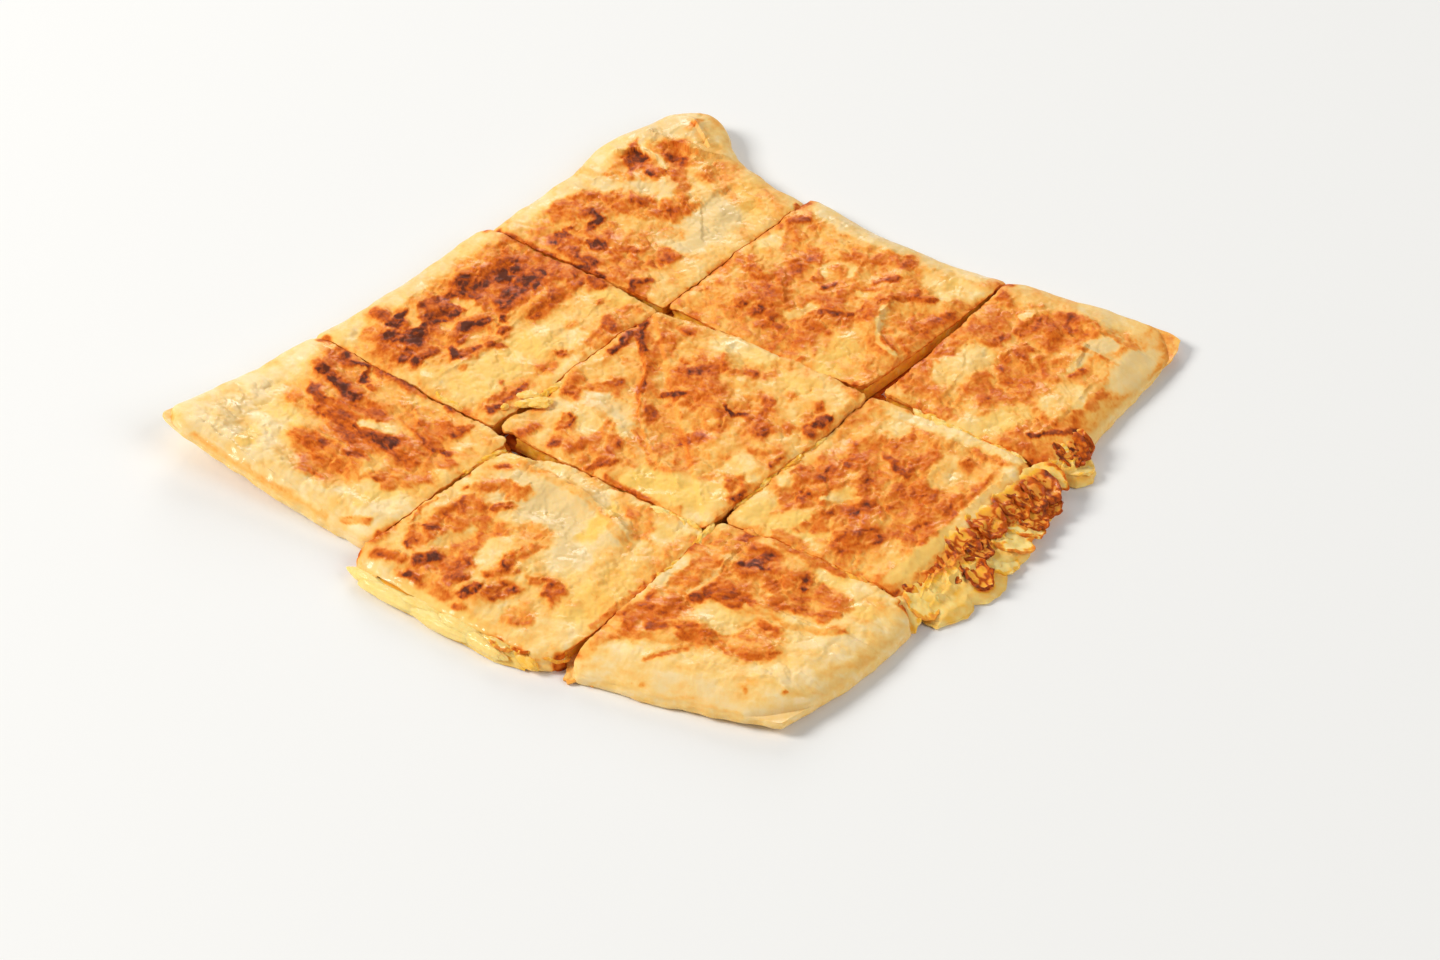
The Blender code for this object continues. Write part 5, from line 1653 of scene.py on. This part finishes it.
def make_sheet(name, sheet, sizes):
    """A layer of dough over or under the egg of the centre slice."""
    piece = SLICES[name]
    outline = Outline(piece, sizes)
    over = sheet == "centre_top_dough"
    spacing = (sizes.skin_spacing if over else sizes.egg_spacing * 2.0) / MM
    xs = lines(outline.width, spacing)
    ys = lines(outline.depth, spacing)
    walls = 4
    rings = (0.96, 0.85, 0.65, 0.4)

    def place(x, y, level):
        spot = outline.place(x, y)
        low = TOP - OVER_DOUGH + puff_at(spot) if over else np.zeros(len(x))
        top = np.full(len(x), UNDER_DOUGH)
        upper = level <= walls
        if over:
            top[upper] = fried_height(name, spot[upper], outline.cutward(x, y)[upper], 0.0, sizes)
        share = np.clip(level / walls, 0.0, 1.0)
        height = mix(top, low, share)
        outward = spot - outline.place(x, y, inset=1.0)
        side = np.where((level > 0) & (level <= walls), torn_at(spot, height), 0.0)
        spot = spot + outward * side[:, None]
        draw_in(spot, level, walls, rings, middle_of(piece))
        under = level > walls
        height[under] = TOP - OVER_DOUGH + puff_at(spot[under]) if over else 0.0
        return np.column_stack((spot, height))

    return closed_body(sheet.replace("dough", "crust"), xs, ys, walls + len(rings), place)


def node(tree, kind, **settings):
    """A node with its settings; a setting that names an input gives that input its value."""
    made = tree.nodes.new(kind)
    for key, value in settings.items():
        if hasattr(made, key):
            setattr(made, key, value)
        else:
            made.inputs[key.replace("_", " ")].default_value = value
    return made


def link(tree, start, end):
    """Join two sockets."""
    tree.links.new(start, end)


def math_node(tree, operation, first, second, clamp=False):
    """Result of an operation on two sockets or numbers."""
    made = tree.nodes.new("ShaderNodeMath")
    made.operation = operation
    made.use_clamp = clamp
    for socket, value in zip(made.inputs, (first, second)):
        if isinstance(value, (int, float)):
            socket.default_value = value
        else:
            tree.links.new(value, socket)
    return made.outputs[0]


def new_group(name, inputs, output):
    """A shader node group with named numbers in and one out, those sockets inside it, and the place."""
    group = bpy.data.node_groups.new(name, "ShaderNodeTree")
    for label, default in inputs.items():
        socket = group.interface.new_socket(name=label, in_out="INPUT", socket_type="NodeSocketFloat")
        socket.default_value = default
    group.interface.new_socket(name=output, in_out="OUTPUT", socket_type="NodeSocketFloat")
    start = node(group, "NodeGroupInput").outputs
    end = node(group, "NodeGroupOutput").inputs[output]
    return group, start, end, node(group, "ShaderNodeTexCoord").outputs["Object"]


def speckle_group(label):
    """Fine unevenness that is laid over a painted value."""
    group, start, end, where = new_group(label, {"Value": 0.0, "Coarse": 0.1, "Fine": 0.05}, "Value")
    total = start["Value"]
    for strength, scale, detail in (("Coarse", 480.0, 3.0), ("Fine", 1500.0, 2.0)):
        grain = node(group, "ShaderNodeTexNoise", Scale=scale, Detail=detail, Roughness=0.6)
        link(group, where, grain.inputs["Vector"])
        centred = math_node(group, "SUBTRACT", grain.outputs[0], 0.5)
        weighted = math_node(group, "MULTIPLY", centred, start[strength])
        total = math_node(group, "ADD", total, weighted)
    link(group, total, end)
    return group


def crumb_group(label):
    """Height of the finest unevenness of dough and egg, in metres."""
    group, start, end, where = new_group(label, {"Amount": 1.0}, "Height")
    pores = node(group, "ShaderNodeTexNoise", Scale=900.0, Detail=4.0, Roughness=0.62)
    wavy = node(group, "ShaderNodeTexNoise", Scale=260.0, Detail=3.0, Roughness=0.55, Distortion=1.2)
    for grain in (pores, wavy):
        link(group, where, grain.inputs["Vector"])
    low = math_node(group, "MULTIPLY", pores.outputs[0], PORE_DEPTH)
    high = math_node(group, "MULTIPLY", wavy.outputs[0], WAVE_DEPTH)
    total = math_node(group, "ADD", low, high)
    link(group, math_node(group, "MULTIPLY", total, start["Amount"]), end)
    return group


def oil_group(label):
    """Patches that are wet with oil, from 0 to about a half."""
    group, start, end, where = new_group(label, {"Scale": 120.0}, "Oil")
    patches = node(group, "ShaderNodeTexNoise", Detail=3.0, Roughness=0.6)
    link(group, where, patches.inputs["Vector"])
    link(group, start["Scale"], patches.inputs["Scale"])
    above = math_node(group, "SUBTRACT", patches.outputs[0], 0.5)
    link(group, math_node(group, "MULTIPLY", above, OIL_CONTRAST, clamp=True), end)
    return group


def group_node(tree, label, build, **values):
    """Place a group in a material with its own values; the group is built when it is first asked for."""
    group = bpy.data.node_groups.get(label) or build(label)
    made = tree.nodes.new("ShaderNodeGroup")
    made.node_tree = group
    for key, value in values.items():
        made.inputs[key].default_value = value
    return made


def ramp(tree, value, stops):
    """Colours along a value."""
    made = tree.nodes.new("ShaderNodeValToRGB")
    elements = made.color_ramp.elements
    while len(elements) < len(stops):
        elements.new(0.5)
    for element, (place, colour) in zip(elements, stops):
        element.position = place
        element.color = (*colour, 1.0)
    tree.links.new(value, made.inputs[0])
    return made.outputs[0]


def food_material(name, stops, speckle, roughness, glow, tints=()):
    """Material painted by the browning and the tint stored in the mesh.

    speckle is how strong coarse and fine specks are, roughness is that of pale and of burnt food, glow is how
    much light goes into it, and each tint is a sign of the stored tint and its colour.
    """
    if name in bpy.data.materials:
        return bpy.data.materials[name]
    material = bpy.data.materials.new(name)
    material.use_nodes = True
    tree = material.node_tree
    shader = tree.nodes["Principled BSDF"]
    painted = node(tree, "ShaderNodeAttribute", attribute_name="browning")
    uneven = group_node(tree, "Speckle", speckle_group, Coarse=speckle[0], Fine=speckle[1])
    link(tree, painted.outputs["Fac"], uneven.inputs["Value"])
    browning = uneven.outputs["Value"]
    colour = ramp(tree, browning, stops)
    tint = node(tree, "ShaderNodeAttribute", attribute_name="tint").outputs["Fac"]
    faded = math_node(tree, "MULTIPLY", browning, TINT_FADE)
    pale = math_node(tree, "SUBTRACT", 1.0, faded, clamp=True)
    for sign, other in tints:
        signed = math_node(tree, "MULTIPLY", tint, sign, clamp=True)
        blend = node(tree, "ShaderNodeMix", data_type="RGBA")
        link(tree, math_node(tree, "MULTIPLY", signed, pale, clamp=True), blend.inputs["Factor"])
        link(tree, colour, blend.inputs[MIX_FIRST])
        blend.inputs[MIX_SECOND].default_value = (*other, 1.0)
        colour = blend.outputs[MIX_RESULT]
    link(tree, colour, shader.inputs["Base Color"])
    dull = math_node(tree, "MULTIPLY", browning, roughness[1] - roughness[0])
    link(tree, math_node(tree, "ADD", dull, roughness[0], clamp=True), shader.inputs["Roughness"])
    bump = node(tree, "ShaderNodeBump", Strength=1.0, Distance=1.0)
    crumb = group_node(tree, "Crumb", crumb_group, Amount=1.0)
    link(tree, crumb.outputs["Height"], bump.inputs["Height"])
    link(tree, bump.outputs["Normal"], shader.inputs["Normal"])
    wet = math_node(tree, "SUBTRACT", WET_UNTIL, browning, clamp=True)
    oil = group_node(tree, "Oil", oil_group).outputs["Oil"]
    link(tree, math_node(tree, "MULTIPLY", oil, wet), shader.inputs["Coat Weight"])
    shader.inputs["Specular IOR Level"].default_value = 0.1
    shader.inputs["Coat Roughness"].default_value = 0.12
    shader.inputs["Subsurface Weight"].default_value = glow
    shader.inputs["Subsurface Radius"].default_value = (1.0, 0.5, 0.2)
    shader.inputs["Subsurface Scale"].default_value = 0.0012
    return material


def dough_material():
    """Fried dough, from cream to burnt."""
    colours = bpy.context.scene.bread_colours
    stops = ((0.0, colours.cream), (0.15, colours.straw), (0.32, colours.golden), (0.48, colours.amber),
             (0.62, colours.orange), (0.75, colours.russet), (0.86, colours.chestnut), (0.94, colours.plum),
             (1.0, colours.soot))
    return food_material("murtabak_dough", stops, speckle=(0.16, 0.08), roughness=(0.38, 0.6), glow=0.12,
                         tints=((-1.0, colours.glassy), (1.0, colours.yolk)))


def egg_material():
    """Set egg, from pale to browned."""
    colours = bpy.context.scene.bread_colours
    stops = ((0.0, colours.egg_pale), (0.3, colours.egg_yellow), (0.55, colours.amber),
             (0.75, colours.russet), (0.9, colours.chestnut), (1.0, colours.soot))
    return food_material("murtabak_egg", stops, speckle=(0.2, 0.1), roughness=(0.32, 0.5), glow=0.2)


class BREAD_OT_slices(bpy.types.Operator):
    """Add the dough of the eight slices that have some rim"""
    bl_idname = "bread.add_slices"
    bl_label = "Fried dough slices"

    def execute(self, context):
        sizes = context.scene.bread_sizes
        material = dough_material()
        for name, piece in SLICES.items():
            if not piece.rim:
                continue
            body = make_dough(name, sizes)
            cut_away(body, make_pocket(name, piece))
            if piece.ooze is not None:
                cut_away(body, make_mouth(name, piece))
            paint_dough(body, name)
            if piece.ooze is None and name in PETALS:
                join(body, make_petals(name, first_seed=100))
            shade_smooth(body)
            finish_piece(body, material, "fried_dough", f"{name}_dough")
        return {"FINISHED"}


class BREAD_OT_centre(bpy.types.Operator):
    """Add the dough over and under the egg of the centre slice"""
    bl_idname = "bread.add_centre"
    bl_label = "Centre slice"

    def execute(self, context):
        material = dough_material()
        for sheet in ("centre_top_dough", "centre_bottom_dough"):
            body = make_sheet("centre", sheet, context.scene.bread_sizes)
            paint_dough(body, "centre")
            shade_smooth(body)
            finish_piece(body, material, "fried_dough", sheet)
        return {"FINISHED"}


class BREAD_OT_egg(bpy.types.Operator):
    """Add the egg that runs through each slice"""
    bl_idname = "bread.add_egg"
    bl_label = "Egg filling"

    def execute(self, context):
        material = egg_material()
        for name, piece in SLICES.items():
            body = make_egg(name, context.scene.bread_sizes)
            if piece.ooze is not None:
                petals = make_petals(name, first_seed=0)
                rolls = [make_lump(roll[:3], roll[3:6], turn=roll[6], seed=7 * number, level=roll[7],
                                   unevenness=0.12)
                         for number, roll in enumerate(ROLLS.get(name, ()))]
                join(body, [*petals, *rolls, make_apron(name)])
            shade_smooth(body)
            finish_piece(body, material, "egg_filling", f"{name}_filling")
        return {"FINISHED"}


class BREAD_OT_scrap(bpy.types.Operator):
    """Add the scrap of egg that lies over a cut"""
    bl_idname = "bread.add_scrap"
    bl_label = "Egg scrap"

    def execute(self, context):
        lumps = [make_lump(lump[:3], lump[3:6], lump[6], seed=9 * number, level=0.16, unevenness=0.24)
                 for number, lump in enumerate(SCRAP_LUMPS)]
        scrap = join(lumps[0], lumps[1:])
        scrap.name = "egg_scrap_curds"
        shade_smooth(scrap, CURD_CREASE)
        finish_piece(scrap, egg_material(), "egg_filling", "egg_scrap")
        return {"FINISHED"}


class BREAD_OT_crumbs(bpy.types.Operator):
    """Add the crumbs of egg in the holes between the slices"""
    bl_idname = "bread.add_crumbs"
    bl_label = "Egg crumbs"

    def execute(self, context):
        crumbs = []
        for number, (x, y, z, size, level) in enumerate(CRUMBS):
            halves = (size, size * 0.75, z * 0.75)
            crumbs.append(make_lump((x, y, z), halves, turn=47 * number, seed=5 * number, level=level))
        for depth, half, level, *points in SEAMS:
            for start, end in zip(points, points[1:]):
                run = np.subtract(end, start)
                turn = math.degrees(math.atan2(run[1], run[0]))
                steps = max(round(np.linalg.norm(run) / SEAM_STEP), 1)
                for step in range(steps):
                    x, y = mix(np.array(start), np.array(end), (step + 0.5) / steps)
                    seed = len(crumbs)
                    height = TOP + puff_at(np.array([[x, y]]))[0] - depth
                    place = np.array((x, y, height)) + SEAM_STRAY * DIRECTIONS[seed]
                    crumbs.append(make_lump(place, (SEAM_LENGTH, half, SEAM_HEIGHT),
                                            turn=turn + SEAM_TURN * DIRECTIONS[seed][1], seed=5 * seed,
                                            level=level + SEAM_TONE * DIRECTIONS[seed][0], detail=4))
        crumb = join(crumbs[0], crumbs[1:])
        crumb.name = "egg_crumbs"
        shade_smooth(crumb, CURD_CREASE)
        finish_piece(crumb, egg_material(), "egg_filling")
        return {"FINISHED"}


# The camera, in the plan's millimetres: where it stands, where it looks, its up direction and its lens
CAMERA_PLACE = np.array((-765.70, -577.38, 800.50))
CAMERA_AHEAD = Vector((0.61049, 0.45009, -0.65170))
CAMERA_UP = Vector((0.52455, 0.38673, 0.75848))
CAMERA_LENS = 109.15
CAMERA_SENSOR = 36.0

# The floor's width, and the lamps: their names, places and widths in metres, power in watts and colours
FLOOR_SIZE = 6.0
LAMPS = (
    ("key", (-1.25, 1.6, 1.5), 0.9, 53.0, (1.0, 0.98, 0.95)),
    ("fill", (0.2, -1.7, 1.3), 1.4, 15.5, (1.0, 1.0, 1.0)),
    ("sheen", (1.5, 1.2, 0.9), 1.0, 15.0, (1.0, 1.0, 1.0)),
)
WORLD_STRENGTH = 0.26


def softbox(name, place, size, power, colour):
    """A square lamp that faces the bread."""
    lamp = added(bpy.ops.object.light_add, type="AREA", location=place)
    lamp.name = name
    lamp.data.shape = "SQUARE"
    lamp.data.size = size
    lamp.data.energy = power
    lamp.data.color = colour
    lamp.rotation_euler = (-Vector(place)).to_track_quat("-Z", "Y").to_euler()


class BREAD_OT_stage(bpy.types.Operator):
    """Add the floor, the lamps and the camera"""
    bl_idname = "bread.add_stage"
    bl_label = "Stage"

    def execute(self, context):
        scene = context.scene
        floor = added(bpy.ops.mesh.primitive_plane_add, size=FLOOR_SIZE)
        floor.name = "floor"
        material = bpy.data.materials.new("pale_floor")
        material.use_nodes = True
        shader = material.node_tree.nodes["Principled BSDF"]
        shader.inputs["Base Color"].default_value = (*scene.bread_colours.floor, 1.0)
        shader.inputs["Roughness"].default_value = 0.9
        floor.data.materials.append(material)

        for lamp in LAMPS:
            softbox(*lamp)
        world = bpy.data.worlds.new("studio")
        scene.world = world
        world.use_nodes = True
        background = world.node_tree.nodes["Background"]
        background.inputs["Color"].default_value = (1.0, 1.0, 1.0, 1.0)
        background.inputs["Strength"].default_value = WORLD_STRENGTH
        scene.view_settings.view_transform = "Standard"

        place = to_frame(CAMERA_PLACE)
        camera = added(bpy.ops.object.camera_add, location=tuple(place))
        camera.name = "camera"
        camera.data.sensor_width = CAMERA_SENSOR
        camera.data.lens = CAMERA_LENS
        camera.data.clip_end = 20.0
        back = -CAMERA_AHEAD.normalized()
        right = CAMERA_UP.cross(back).normalized()
        up = back.cross(right)
        camera.matrix_world = Matrix(((right.x, up.x, back.x, place[0]), (right.y, up.y, back.y, place[1]),
                                      (right.z, up.z, back.z, place[2]), (0.0, 0.0, 0.0, 1.0)))
        scene.camera = camera
        return {"FINISHED"}


class BREAD_PT_panel(bpy.types.Panel):
    """Everything that makes up the bread"""
    bl_idname = "BREAD_PT_panel"
    bl_label = "Murtabak"
    bl_space_type = "VIEW_3D"
    bl_region_type = "UI"
    bl_category = "Murtabak"

    def draw(self, context):
        layout = self.layout
        for operator in OPERATORS:
            layout.operator(operator.bl_idname)
        for group in (context.scene.bread_sizes, context.scene.bread_colours):
            box = layout.box()
            for key in group.__annotations__:
                box.prop(group, key)


GROUPS = (BreadSizes, BreadColours)
OPERATORS = (BREAD_OT_slices, BREAD_OT_centre, BREAD_OT_egg, BREAD_OT_scrap, BREAD_OT_crumbs, BREAD_OT_stage)


def register():
    """Add the settings, the operators and the panel."""
    for item in (*GROUPS, *OPERATORS, BREAD_PT_panel):
        bpy.utils.register_class(item)
    bpy.types.Scene.bread_sizes = PointerProperty(type=BreadSizes)
    bpy.types.Scene.bread_colours = PointerProperty(type=BreadColours)


def unregister():
    """Take away what register() added."""
    del bpy.types.Scene.bread_colours
    del bpy.types.Scene.bread_sizes
    for item in reversed((*GROUPS, *OPERATORS, BREAD_PT_panel)):
        bpy.utils.unregister_class(item)


def main():
    """Build the bread."""
    register()
    for operator in OPERATORS:
        group, name = operator.bl_idname.split(".")
        getattr(getattr(bpy.ops, group), name)()


if __name__ == "__main__":
    main()
